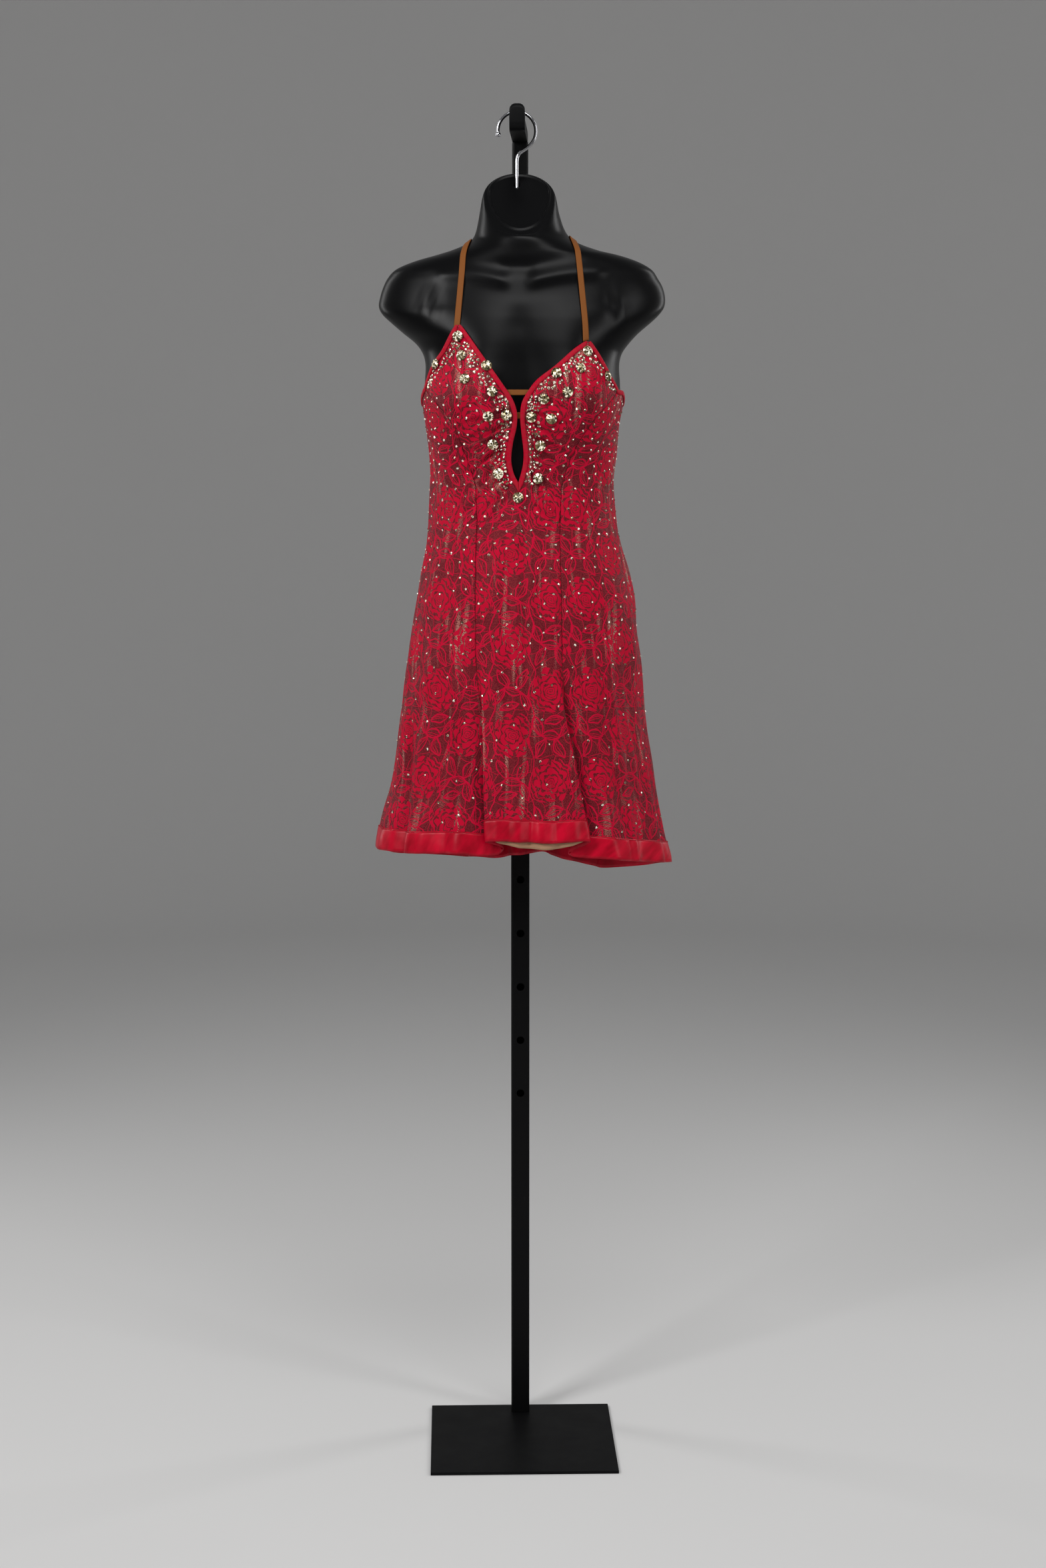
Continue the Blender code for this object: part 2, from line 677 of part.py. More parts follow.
def skirt_height(bearing, share):
    """How high a row stands. The row at BAND_SHARE is the hem band's top edge."""
    hem = hem_height(bearing)
    if share == BAND_SHARE:
        return hem + HEM_BAND
    return middle_of(hem, SKIRT_TOP, share)


def skirt_row(left_line, right_line, count, share):
    """One row of points from the left line to the right, at one share of the skirt's height."""
    level = middle_of(HEM_LEVEL, SKIRT_TOP, share)
    row = spread(left_line(level), right_line(level), level, count)
    return [(bearing, skirt_height(bearing, share)) for bearing in row]


def seam_left(height):
    return line_bearing(SEAM_LEFT_BEARINGS, height)


def seam_right(height):
    return line_bearing(SEAM_RIGHT_BEARINGS, height)


def centre_line(height):
    return bearing_of(CENTRE_X, height)


def beside(line, way):
    """A line half a seam's gap to the left (-1) or right (+1) of a seam, square to it."""

    def place(height):
        bearing = line(height)
        radius = smooth_dress_radius(bearing, height)
        step = 0.001
        across = (line(height + step) - line(height - step)) * radius / (2 * step)
        return bearing + way * SEAM / 2 * math.hypot(1, across) / radius

    return place


def straight(bearing):
    return lambda _height: bearing


RIGHT_SIDE = straight(math.pi / 2)
LEFT_SIDE = straight(-math.pi / 2)
LEFT_SIDE_FROM_BACK = straight(math.pi * 3 / 2)


def half_front_rows(side):
    """The left (-1) or right (+1) half of the centre front, from the hem to the tip of its cup."""
    if side < 0:
        seam, arm, neck = beside(seam_left, 1), ARM_LEFT_BEARINGS, NECK_LEFT_BEARINGS
    else:
        seam, arm, neck = beside(seam_right, -1), ARM_RIGHT_BEARINGS, NECK_RIGHT_BEARINGS
    lines = (seam, centre_line)[::-side]
    rows = [skirt_row(*lines, FRONT_COLUMNS, share) for share in SKIRT_SHARES]
    seam_top, cup_top = arm[0][0], arm[-1][0]
    heights = list(WAIST_HEIGHTS)
    steps = round((GATHER_TOP - KEYHOLE_FOOT) / (GATHER_PITCH / ROWS_PER_GATHER))
    heights += [middle_of(KEYHOLE_FOOT, GATHER_TOP, step / steps) for step in range(1, steps + 1)]
    heights += [middle_of(seam_top, cup_top, step / CUP_STEPS) for step in range(CUP_STEPS + 1)]
    for height in heights:
        inner = centre_line(height) if height <= KEYHOLE_FOOT else line_bearing(neck, height)
        outer = seam(height) if height <= seam_top else line_bearing(arm, height)
        start, end = (outer, inner)[::-side]
        evenness = smooth_step((height - SKIRT_TOP) / EVENING_RISE)
        row = []
        for step, bearing in enumerate(spread(start, end, height, FRONT_COLUMNS)):
            even = middle_of(start, end, step / FRONT_COLUMNS)
            row.append((middle_of(bearing, even, evenness), height))
        rows.append(row)
    return rows


def round_rows(left_line, right_line, count, shares_above):
    """A panel whose top is the bodice's edge, from the hem up."""
    rows = [skirt_row(left_line, right_line, count, share) for share in SKIRT_SHARES]
    start = skirt_row(left_line, right_line, count, 1.0)
    across = start[-1][0] - start[0][0]
    for share in shares_above:
        row = []
        for step, (bearing, _) in enumerate(start):
            crowded = (bearing - start[0][0]) / across
            place = middle_of(crowded, step / count, smooth_step(share * 2))
            for _ in range(3):
                height = middle_of(SKIRT_TOP, bodice_top(bearing), share)
                bearing = middle_of(left_line(height), right_line(height), place)
            row.append((bearing, height))
        rows.append(row)
    return rows


def build_panels():
    panels = {
        "left_half": half_front_rows(-1),
        "right_half": half_front_rows(1),
        "left": round_rows(
            beside(LEFT_SIDE, 1), beside(seam_left, -1), SIDE_COLUMNS, SIDE_SHARES
        ),
        "right": round_rows(
            beside(seam_right, 1), beside(RIGHT_SIDE, -1), SIDE_COLUMNS, SIDE_SHARES
        ),
        "back": round_rows(
            beside(RIGHT_SIDE, 1), beside(LEFT_SIDE_FROM_BACK, -1), BACK_COLUMNS, BACK_SHARES
        ),
    }
    shell("front_center", [panels["left_half"], panels["right_half"]], 0.0, -CLOTH, "lace")
    shell("side_front_left", [panels["left"]], 0.0, -CLOTH, "lace")
    shell("side_front_right", [panels["right"]], 0.0, -CLOTH, "lace")
    shell("back", [panels["back"]], 0.0, -CLOTH, "lace")
    return panels


def build_hem(panels):
    """The satin bands, on the panels' own first two rows of points."""
    front = [
        left + left_half + right_half[1:] + right
        for left, left_half, right_half, right in zip(
            panels["left"][:2],
            panels["left_half"][:2],
            panels["right_half"][:2],
            panels["right"][:2],
        )
    ]
    shell("hem_band_front", [front], BAND_GAP + TRIM, BAND_GAP, "satin")
    shell("hem_band_back", [panels["back"][:2]], BAND_GAP + TRIM, BAND_GAP, "satin")


def build_lining_hem(panels):
    """The lining's edge, which hangs below the satin at the middle lobe."""
    hem = panels["left_half"][0] + panels["right_half"][0][1:]
    hem = [point for point in hem if LINING_LEFT < point[0] < LINING_RIGHT]
    foot = []
    top = []
    for bearing, height in hem:
        part = (bearing - hem[0][0]) / (hem[-1][0] - hem[0][0])
        foot.append((bearing, height - LINING_DROP * math.sin(math.pi * part) ** 0.7))
        top.append((bearing, height + LINING_RISE))
    outer = -CLOTH - 2 * GAP
    shell("lining_hem", [[foot, top]], outer, outer - LINING_WALL, "lining")


# --- Trim on the bodice --------------------------------------------------------------------------
def edge_strip(name, edge, inward_right, width_at, material="lace"):
    """A binding laid along an edge of bearings and heights, on the cloth's outer face."""
    points = [cloth_point(bearing, height) for bearing, height in edge]
    rows = []
    for index, point in enumerate(points):
        before, after = points[max(index - 1, 0)], points[min(index + 1, len(points) - 1)]
        bearing, height = edge[index]
        normal = (cloth_lifted(bearing, height, 0.001) - point).normalized()
        inward = (after - before).normalized().cross(normal)
        if not inward_right:
            inward = -inward
        row = []
        for reach in (-GAP, width_at(point)):
            place = point + inward * reach
            turned = math.atan2(place.x, -place.y)
            row.append((bearing + turn_between(turned, bearing), place.z))
        rows.append(row if inward_right else row[::-1])
    shell(name, [rows], GAP + TRIM, GAP, material)


def cup_share(neck, arm):
    """The binding's width: all of it, or less where the cup narrows to its tip."""

    def width(point):
        if point.z < arm[0][0]:
            return BINDING_WIDTH
        first = cloth_point(line_bearing(neck, point.z), point.z)
        last = cloth_point(line_bearing(arm, point.z), point.z)
        return min(BINDING_WIDTH, BINDING_TIP_SHARE * (first - last).length)

    return width


def build_bindings(panels):
    cups = (
        ("left", -1, NECK_LEFT_BEARINGS, ARM_LEFT_BEARINGS),
        ("right", 1, NECK_RIGHT_BEARINGS, ARM_RIGHT_BEARINGS),
    )
    for name, side, neck, arm in cups:
        half = panels[f"{name}_half"]
        inner, outer = (-1, 0) if side < 0 else (0, -1)
        width = cup_share(neck, arm)
        edge = [row[inner] for row in half if row[inner][1] > KEYHOLE_FOOT]
        edge_strip(f"binding_neck_{name}", edge, side > 0, width)
        side_top = panels[name][-1][::-side]
        cup = [row[outer] for row in half if row[outer][1] > arm[0][0]]
        edge_strip(f"binding_arm_{name}", side_top + cup, side < 0, width)
    edge_strip("binding_back", panels["back"][-1], True, lambda _point: BINDING_WIDTH)


def inside_tab(name, left, right, foot, top):
    """A flat elastic tab behind the cloth, from one edge of the opening to the other."""
    rows = []
    for height in (foot, top):
        across = [middle_of(left, right, step / TAB_COLUMNS) for step in range(TAB_COLUMNS + 1)]
        rows.append([(bearing_of(x, height), height) for x in across])
    outer = -CLOTH - 3 * GAP
    shell(name, [rows], outer, outer - ELASTIC, "elastic")


def tight(points):
    """The points that a tight band touches, going over the top from the front to the back."""
    kept = []
    for point in points:
        while len(kept) > 1:
            before = kept[-1] - kept[-2]
            after = point - kept[-1]
            if before.z * after.y - before.y * after.z > 0:
                break
            kept.pop()
        kept.append(point)
    return kept


def spaced(points, count):
    """Points along a line at equal steps."""
    lengths = [0.0]
    for first, second in zip(points, points[1:]):
        lengths.append(lengths[-1] + (second - first).length)
    result = []
    for step in range(count + 1):
        target = lengths[-1] * step / count
        index = max(i for i, length in enumerate(lengths[:-1]) if length <= target)
        share = (target - lengths[index]) / (lengths[index + 1] - lengths[index])
        result.append(points[index].lerp(points[index + 1], min(share, 1.0)))
    return result


def strap_line(form_tree, table, shift):
    """One long edge of a strap, laid tight over the form."""
    points = []
    axis = Vector((0, 0, STRAP_AXIS_Z))
    first, last = table[0][0], table[-1][0]
    for angle in range(first, last + 1, 2):
        turn = math.radians(angle)
        direction = Vector((0, -math.cos(turn), math.sin(turn)))
        x = Vector((smooth_rows(table, angle)[0] + shift, 0, 0))
        hit = form_tree.ray_cast(axis + x + direction * 0.3, -direction)[0]
        points.append(hit + direction * STRAP_LIFT)
    return spaced(tight(points), STRAP_STEPS)


def build_straps(form_tree):
    for side, column in (("left", 1), ("right", 2)):
        table = [(point.angle, point[column]) for point in STRAP]
        lines = [strap_line(form_tree, table, shift) for shift in (-STRAP_WIDTH / 2, STRAP_WIDTH / 2)]
        builder = bmesh.new()
        rows = [[builder.verts.new(point) for point in pair] for pair in zip(*lines)]
        add_grid(builder, rows)
        name = f"strap_{side}"
        strap = add_object(name, mesh_from(name, builder), "elastic")
        wall = strap.modifiers.new("wall", "SOLIDIFY")
        wall.thickness = ELASTIC
        wall.offset = 1


def stone_mesh():
    """A round stone with a flat back, a thin girdle and a faceted cone to a point."""
    builder = bmesh.new()
    bmesh.ops.create_cone(
        builder,
        cap_ends=True,
        segments=STONE_SIDES,
        radius1=STONE_RADIUS - STONE_UNDERCUT,
        radius2=STONE_RADIUS,
        depth=STONE_GIRDLE,
        matrix=Matrix.Translation((0, 0, STONE_GIRDLE / 2)),
    )
    top = max(builder.faces, key=lambda face: face.calc_center_median().z)
    bmesh.ops.poke(builder, faces=[top])
    peak = max(builder.verts, key=lambda vert: len(vert.link_edges) == STONE_SIDES)
    peak.co.z = STONE_HEIGHT
    return mesh_from("stone", builder)


def build_stones():
    mesh = stone_mesh()
    for number, stone in enumerate(STONES, 1):
        bearing = bearing_of(stone.x, stone.height)
        seat = cloth_point(bearing, stone.height)
        normal = (cloth_lifted(bearing, stone.height, 0.001) - seat).normalized()
        highest = 0.0
        for step in range(STONE_SIDES):
            angle = 2 * math.pi * step / STONE_SIDES
            for reach in (0.5, 1.0):
                x = stone.x + reach * STONE_RADIUS * math.cos(angle)
                height = stone.height + reach * STONE_RADIUS * math.sin(angle)
                near = cloth_point(bearing_of(x, height), height)
                highest = max(highest, (near - seat).dot(normal))
        lift = highest + 2 * GAP + (TRIM + GAP if stone.over_binding else 0.0)
        item = add_object(f"stone_{number:02d}", mesh, "stone")
        item.location = seat + normal * lift
        item.rotation_mode = "QUATERNION"
        item.rotation_quaternion = normal.to_track_quat("Z", "Y")


def build_tabs():
    inside_tab("bust_strap", -0.0330, 0.0230, 1.4395, 1.4465)
    inside_tab("keyhole_tab", -0.0170, 0.0020, 1.4090, 1.4170)


# --- The form ------------------------------------------------------------------------------------
def form_rings():
    bearings = [2 * math.pi * step / FORM_COLUMNS for step in range(FORM_COLUMNS)]
    rings = []
    for section in TORSO:
        ring = []
        for bearing in bearings:
            radius = torso_radius(turn_between(bearing, 0), section.height)
            place = Vector((math.sin(bearing), -math.cos(bearing), 0)) * radius
            place.z = section.height
            ring.append(place)
        rings.append(ring)
    for level in NECK:
        share = min((level.height - TORSO[-1].height) / 0.012, 1.0)
        ring = []
        for bearing in bearings:
            depth = level.front if math.cos(bearing) > 0 else level.back
            x = NECK_X * share + level.half * math.sin(bearing)
            y = -depth * math.cos(bearing)
            ring.append(Vector((x, y, level.height + level.slope * (y - PIVOT_Y))))
        rings.append(ring)
    return rings


def build_form():
    """The torso and neck as one loft, closed by a flat foot and the slanting face of the neck.

    Returns the faces, for straps to be laid on.
    """
    builder = bmesh.new()
    loops = [[builder.verts.new(point) for point in ring] for ring in form_rings()]
    for low, high in zip(loops, loops[1:]):
        for index in range(FORM_COLUMNS):
            after = (index + 1) % FORM_COLUMNS
            builder.faces.new((low[index], low[after], high[after], high[index]))
    builder.faces.new(loops[0][::-1])
    builder.faces.new(loops[-1])
    tree = BVHTree.FromBMesh(builder)
    form = add_object("dress_form", mesh_from("dress_form", builder), "form")
    form.data.shade_smooth()
    face_z = NECK[-1].height + NECK[-1].slope * (HOOK_Y - PIVOT_Y)
    bore = add_cutter("hook_bore", HOOK_WIRE + GAP, HOOK_FOOT - GAP, face_z + 0.02)
    mouth_foot = face_z - HOOK_MOUTH_DEPTH
    mouth = add_cutter("hook_mouth", HOOK_MOUTH_RADIUS, mouth_foot, face_z + 0.02)
    for cutter in (bore, mouth):
        cut = form.modifiers.new(cutter.name, "BOOLEAN")
        cut.operation = "DIFFERENCE"
        cut.object = cutter
    return tree


def add_cutter(name, radius, foot, top):
    builder = bmesh.new()
    bmesh.ops.create_cone(
        builder,
        cap_ends=True,
        segments=12,
        radius1=radius,
        radius2=radius,
        depth=top - foot,
        matrix=Matrix.Translation((HOOK_X, HOOK_Y, (foot + top) / 2)),
    )
    cutter = bpy.data.objects.new(name, mesh_from(name, builder))
    hide_cutter(cutter)
    return cutter


def hide_cutter(cutter):
    CUTTERS.objects.link(cutter)
    cutter.hide_render = True
    cutter.display_type = "WIRE"


# --- The hook and the stand ----------------------------------------------------------------------
def hook_route():
    """Up the shank, out to the right, round the loop and down to the ball."""
    centre = Vector((0, HOOK_LOOP_Z))
    start = Vector((0, HOOK_NECK_Z))
    loop_start = centre + HOOK_LOOP * Vector((math.cos(HOOK_LEAN), math.sin(HOOK_LEAN)))
    loop_heading = Vector((-math.sin(HOOK_LEAN), math.cos(HOOK_LEAN)))
    points = [Vector((0, HOOK_FOOT)), Vector((0, HOOK_FOOT + HOOK_SHANK)), start]
    first, second = start + Vector((0, HOOK_EASE)), loop_start - loop_heading * HOOK_EASE
    for step in range(1, 9):
        t = step / 9
        points.append(
            start * (1 - t) ** 3
            + first * (3 * t * (1 - t) ** 2)
            + second * (3 * t**2 * (1 - t))
            + loop_start * t**3
        )
    turns = 18
    for step in range(turns + 1):
        angle = middle_of(HOOK_LEAN, HOOK_END, step / turns)
        points.append(centre + HOOK_LOOP * Vector((math.cos(angle), math.sin(angle))))
    return [Vector((HOOK_X + x, HOOK_Y, z)) for x, z in points]


def build_hook():
    curve = bpy.data.curves.new("hook", "CURVE")
    curve.dimensions = "3D"
    curve.bevel_depth = HOOK_WIRE
    curve.bevel_resolution = 2
    curve.use_fill_caps = True
    route = hook_route()
    ball = ((0.0, 1.0), (0.0008, 1.35), (0.0022, 1.60), (0.0042, 1.55), (0.0055, 1.10))
    tip = route[-1]
    heading = Vector((0.07, 0, -1)).normalized()
    route += [tip + heading * along for along, _ in ball[1:]]
    radii = [1.0] * (len(route) - len(ball) + 1) + [size for _, size in ball[1:]]
    spline = curve.splines.new("POLY")
    spline.points.add(len(route) - 1)
    for point, place, radius in zip(spline.points, route, radii):
        point.co = (*place, 1)
        point.radius = radius
    add_object("hook", curve, "chrome")


def rounded_square(half, corner, steps=2):
    """The outline of a square tube, with its corners turned in short steps."""
    outline = []
    for quarter in range(4):
        centre = Vector((half - corner, half - corner, 0))
        for step in range(steps + 1):
            angle = math.pi / 2 * step / steps
            place = centre + corner * Vector((math.cos(angle), math.sin(angle), 0))
            outline.append(Matrix.Rotation(quarter * math.pi / 2, 3, "Z") @ place)
    return outline


def profile_object(name, outlines, half_length, material):
    curve = bpy.data.curves.new(name, "CURVE")
    curve.dimensions = "2D"
    curve.fill_mode = "BOTH"
    curve.extrude = half_length
    for outline in outlines:
        spline = curve.splines.new("POLY")
        spline.points.add(len(outline) - 1)
        spline.use_cyclic_u = True
        for point, place in zip(spline.points, outline):
            point.co = (*place, 1)
    return add_object(name, curve, material)


def square_tube(name, size, wall, foot, top, material):
    outer = rounded_square(size / 2, TUBE_CORNER)
    inner = rounded_square(size / 2 - wall, TUBE_CORNER - wall)
    item = profile_object(name, [outer, inner], (top - foot) / 2, material)
    item.location = (0, TUBE_Y, (foot + top) / 2)
    return item


def as_mesh(item):
    """The same object as a mesh, in the same place, with its caps welded."""
    bpy.context.view_layer.update()
    graph = bpy.context.evaluated_depsgraph_get()
    mesh = bpy.data.meshes.new_from_object(item.evaluated_get(graph))
    builder = bmesh.new()
    builder.from_mesh(mesh)
    bmesh.ops.remove_doubles(builder, verts=builder.verts, dist=0.000001)
    builder.to_mesh(mesh)
    builder.free()
    name, place = item.name, item.matrix_world.copy()
    material = item.data.materials[0].name
    bpy.data.objects.remove(item)
    solid = add_object(name, mesh, material)
    solid.matrix_world = place
    return solid


def build_stand():
    builder = bmesh.new()
    bmesh.ops.create_cube(
        builder,
        size=1.0,
        matrix=Matrix.Translation((0, 0, PLATE_THICKNESS / 2))
        @ Matrix.Diagonal((PLATE, PLATE, PLATE_THICKNESS, 1)),
    )
    plate = add_object("base_plate", mesh_from("base_plate", builder), "stand")
    bevel = plate.modifiers.new("edges", "BEVEL")
    bevel.width = 0.0006
    bevel.segments = 2

    foot = PLATE_THICKNESS + GAP
    outer = as_mesh(square_tube("pole_outer", TUBE, TUBE_WALL, foot, TUBE_TOP, "stand"))
    for number in range(HOLE_COUNT):
        height = LOWEST_HOLE + number * HOLE_PITCH
        builder = bmesh.new()
        bmesh.ops.create_cone(
            builder,
            cap_ends=True,
            segments=12,
            radius1=HOLE_RADIUS,
            radius2=HOLE_RADIUS,
            depth=2 * TUBE_WALL + 0.004,
            matrix=Matrix.Translation((0, TUBE_Y - TUBE / 2 + TUBE_WALL / 2, height))
            @ Matrix.Rotation(math.pi / 2, 4, "X"),
        )
        drill = bpy.data.objects.new(f"hole_{number}", mesh_from("hole", builder))
        hide_cutter(drill)
        cut = outer.modifiers.new(drill.name, "BOOLEAN")
        cut.operation = "DIFFERENCE"
        cut.object = drill

    square_tube("pole_inner", INNER_TUBE, TUBE_WALL, INNER_FOOT, ARM_UNDERSIDE - GAP, "stand")


def corner_arc(centre_y, centre_z, radius, start, end, steps):
    points = []
    for step in range(steps + 1):
        angle = math.radians(middle_of(start, end, step / steps))
        points.append((centre_y + radius * math.cos(angle), centre_z + radius * math.sin(angle)))
    return points


def build_arm():
    """The arm from the side: a bar on the tube's end, with a raised tip. A plug holds it."""
    back, tip = TUBE_Y + INNER_TUBE / 2, ARM_TIP_Y
    lip = 0.0062
    outline = [(back, ARM_UNDERSIDE)]
    outline += corner_arc(back - 0.012, ARM_TOP - 0.012, 0.012, 0, 90, 4)
    outline += corner_arc(tip + 2 * lip + 0.008, ARM_TOP + 0.008, 0.008, 270, 180, 3)
    outline += corner_arc(tip + lip, ARM_TIP_TOP - lip, lip, 0, 180, 6)
    outline += corner_arc(tip + 0.012, ARM_UNDERSIDE + 0.012, 0.012, 180, 270, 4)
    flat = [Vector((y - TUBE_Y, z - ARM_UNDERSIDE, 0)) for y, z in outline]
    arm = profile_object("hanger_arm", [flat], ARM_WIDTH / 2, "stand")
    upright = Matrix(((0, 0, 1, 0), (1, 0, 0, 0), (0, 1, 0, 0), (0, 0, 0, 1)))
    turn = Matrix.Rotation(-ARM_TURN, 4, "Z")
    arm.matrix_world = Matrix.Translation((0, TUBE_Y, ARM_UNDERSIDE)) @ turn @ upright
    arm = as_mesh(arm)
    bevel = arm.modifiers.new("edges", "BEVEL")
    bevel.width = 0.0012
    bevel.segments = 1
    bevel.limit_method = "ANGLE"
    bevel.angle_limit = math.radians(40)
    plug_top = ARM_UNDERSIDE + 0.004
    plug = add_cutter("arm_plug", PLUG_RADIUS, ARM_UNDERSIDE - PLUG_DEPTH, plug_top)
    plug.location = (-HOOK_X, TUBE_Y - HOOK_Y, 0)
    join = arm.modifiers.new("plug", "BOOLEAN")
    join.operation = "UNION"
    join.object = plug


clear_scene()
PARTS = new_collection("salsa_dance_dress")
CUTTERS = new_collection("cutters")
MATERIALS = make_materials()
PANELS = build_panels()
build_hem(PANELS)
build_lining_hem(PANELS)
build_bindings(PANELS)
build_tabs()
build_stones()
FORM_TREE = build_form()
build_straps(FORM_TREE)
build_hook()
build_stand()
build_arm()
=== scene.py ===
import math
from functools import partialmethod

import bmesh
import bpy
import numpy as np
from mathutils import Matrix, Vector
from mathutils.bvhtree import BVHTree


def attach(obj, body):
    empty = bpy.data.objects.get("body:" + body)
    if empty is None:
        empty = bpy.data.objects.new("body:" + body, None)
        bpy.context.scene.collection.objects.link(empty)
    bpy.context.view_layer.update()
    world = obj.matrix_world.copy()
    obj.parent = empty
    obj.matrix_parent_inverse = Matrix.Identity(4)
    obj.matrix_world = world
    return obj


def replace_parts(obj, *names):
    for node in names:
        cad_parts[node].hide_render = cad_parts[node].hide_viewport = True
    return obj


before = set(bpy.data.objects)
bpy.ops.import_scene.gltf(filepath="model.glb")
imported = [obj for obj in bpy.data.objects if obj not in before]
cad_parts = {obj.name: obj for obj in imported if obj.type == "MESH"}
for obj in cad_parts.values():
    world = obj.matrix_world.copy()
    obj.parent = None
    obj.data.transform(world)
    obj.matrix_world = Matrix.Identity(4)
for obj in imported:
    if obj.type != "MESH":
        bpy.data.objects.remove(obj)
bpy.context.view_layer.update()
scene = bpy.context.scene
scene.view_settings.view_transform = "Standard"
dice = np.random.default_rng(11)

# Left and right are as seen from the front. A place on the cloth is a bearing, turned from the
# front to the right, and a height.
dressSizes = {
    "wall": 0.0012,
    "seam": 0.0004,
    "centreX": -0.0075,
    "keyholeFoot": 1.3250,
    "skirtTop": 1.1500,
    "hemLevel": 0.8400,
    "bandHeight": 0.0290,
    "bandShare": 0.1,
    "bindingWidth": 0.0055,
    "bustBearing": math.radians(34),
    "bustHeight": 1.4430,
    "bustReach": 0.0430,
    "dressBust": (0.0200, math.radians(18)),
    "torsoBust": (0.0180, math.radians(15)),
    "narrowStart": 0.6,
    "creaseStrength": 1.5,
    "gatherDepth": 0.0036,
    "gatherPitch": 0.0140,
    "gatherFoot": 1.3300,
    "gatherTop": 1.4360,
    "gatherReach": 0.0520,
    "gatherDrop": (0.20, 1.10),
    "seamDip": 0.0010,
    "seamDipWidth": 0.0022,
    "puckerPitch": 0.0105,
}

# height, half widths to the left and right, depths to the front and back, fullness
dressSections = (
    (0.790, 0.2070, 0.2040, 0.1600, 0.0860, 2.15),
    (0.850, 0.1970, 0.1920, 0.1530, 0.0870, 2.15),
    (0.883, 0.1890, 0.1860, 0.1480, 0.0870, 2.15),
    (0.920, 0.1780, 0.1790, 0.1420, 0.0870, 2.15),
    (0.956, 0.1725, 0.1740, 0.1370, 0.0870, 2.15),
    (1.000, 0.1670, 0.1665, 0.1310, 0.0870, 2.15),
    (1.046, 0.1605, 0.1610, 0.1250, 0.0870, 2.20),
    (1.100, 0.1530, 0.1580, 0.1190, 0.0868, 2.20),
    (1.135, 0.1470, 0.1545, 0.1150, 0.0860, 2.20),
    (1.171, 0.1415, 0.1515, 0.1110, 0.0845, 2.25),
    (1.207, 0.1365, 0.1430, 0.1065, 0.0815, 2.25),
    (1.242, 0.1295, 0.1325, 0.1010, 0.0770, 2.30),
    (1.278, 0.1250, 0.1255, 0.0965, 0.0735, 2.30),
    (1.330, 0.1225, 0.1220, 0.0935, 0.0705, 2.30),
    (1.366, 0.1245, 0.1260, 0.0965, 0.0720, 2.30),
    (1.401, 0.1285, 0.1285, 0.1000, 0.0755, 2.30),
    (1.436, 0.1330, 0.1340, 0.1030, 0.0785, 2.30),
    (1.470, 0.1325, 0.1330, 0.1010, 0.0800, 2.30),
    (1.489, 0.1325, 0.1330, 0.0982, 0.0812, 2.30),
    (1.506, 0.1410, 0.1410, 0.0956, 0.0816, 2.30),
    (1.524, 0.1595, 0.1595, 0.0918, 0.0806, 2.30),
    (1.541, 0.1805, 0.1805, 0.0878, 0.0786, 2.30),
)
torsoSections = (
    (1.1000, 0.1310, 0.1310, 0.0950, 0.0740, 2.2),
    (1.1035, 0.1370, 0.1370, 0.1005, 0.0800, 2.2),
    (1.1120, 0.1395, 0.1395, 0.1025, 0.0825, 2.2),
    (1.1400, 0.1405, 0.1405, 0.1030, 0.0830, 2.2),
    (1.1710, 0.1385, 0.1385, 0.1020, 0.0815, 2.2),
    (1.2070, 0.1335, 0.1335, 0.0990, 0.0785, 2.2),
    (1.2420, 0.1260, 0.1260, 0.0950, 0.0735, 2.3),
    (1.2780, 0.1215, 0.1215, 0.0910, 0.0700, 2.3),
    (1.3300, 0.1195, 0.1195, 0.0885, 0.0675, 2.3),
    (1.3660, 0.1215, 0.1215, 0.0915, 0.0685, 2.3),
    (1.4010, 0.1260, 0.1260, 0.0950, 0.0715, 2.3),
    (1.4360, 0.1300, 0.1300, 0.0975, 0.0745, 2.3),
    (1.4600, 0.1295, 0.1295, 0.0965, 0.0760, 2.3),
    (1.4820, 0.1285, 0.1285, 0.0940, 0.0772, 2.3),
    (1.4970, 0.1320, 0.1320, 0.0925, 0.0780, 2.3),
    (1.5100, 0.1410, 0.1410, 0.0908, 0.0778, 2.3),
    (1.5240, 0.1580, 0.1540, 0.0880, 0.0770, 2.3),
    (1.5380, 0.1745, 0.1705, 0.0848, 0.0755, 2.2),
    (1.5480, 0.1850, 0.1810, 0.0820, 0.0740, 2.1),
    (1.5580, 0.1898, 0.1880, 0.0790, 0.0720, 2.0),
    (1.5700, 0.1883, 0.1895, 0.0750, 0.0685, 2.0),
    (1.5840, 0.1838, 0.1862, 0.0710, 0.0645, 2.0),
    (1.5960, 0.1775, 0.1795, 0.0680, 0.0595, 2.0),
    (1.6070, 0.1665, 0.1715, 0.0655, 0.0545, 2.0),
    (1.6170, 0.1430, 0.1540, 0.0635, 0.0495, 2.0),
    (1.6250, 0.1150, 0.1300, 0.0620, 0.0450, 2.0),
    (1.6310, 0.0950, 0.1030, 0.0612, 0.0415, 2.0),
    (1.6380, 0.0740, 0.0780, 0.0606, 0.0385, 2.0),
    (1.6450, 0.0620, 0.0620, 0.0600, 0.0360, 2.0),
)
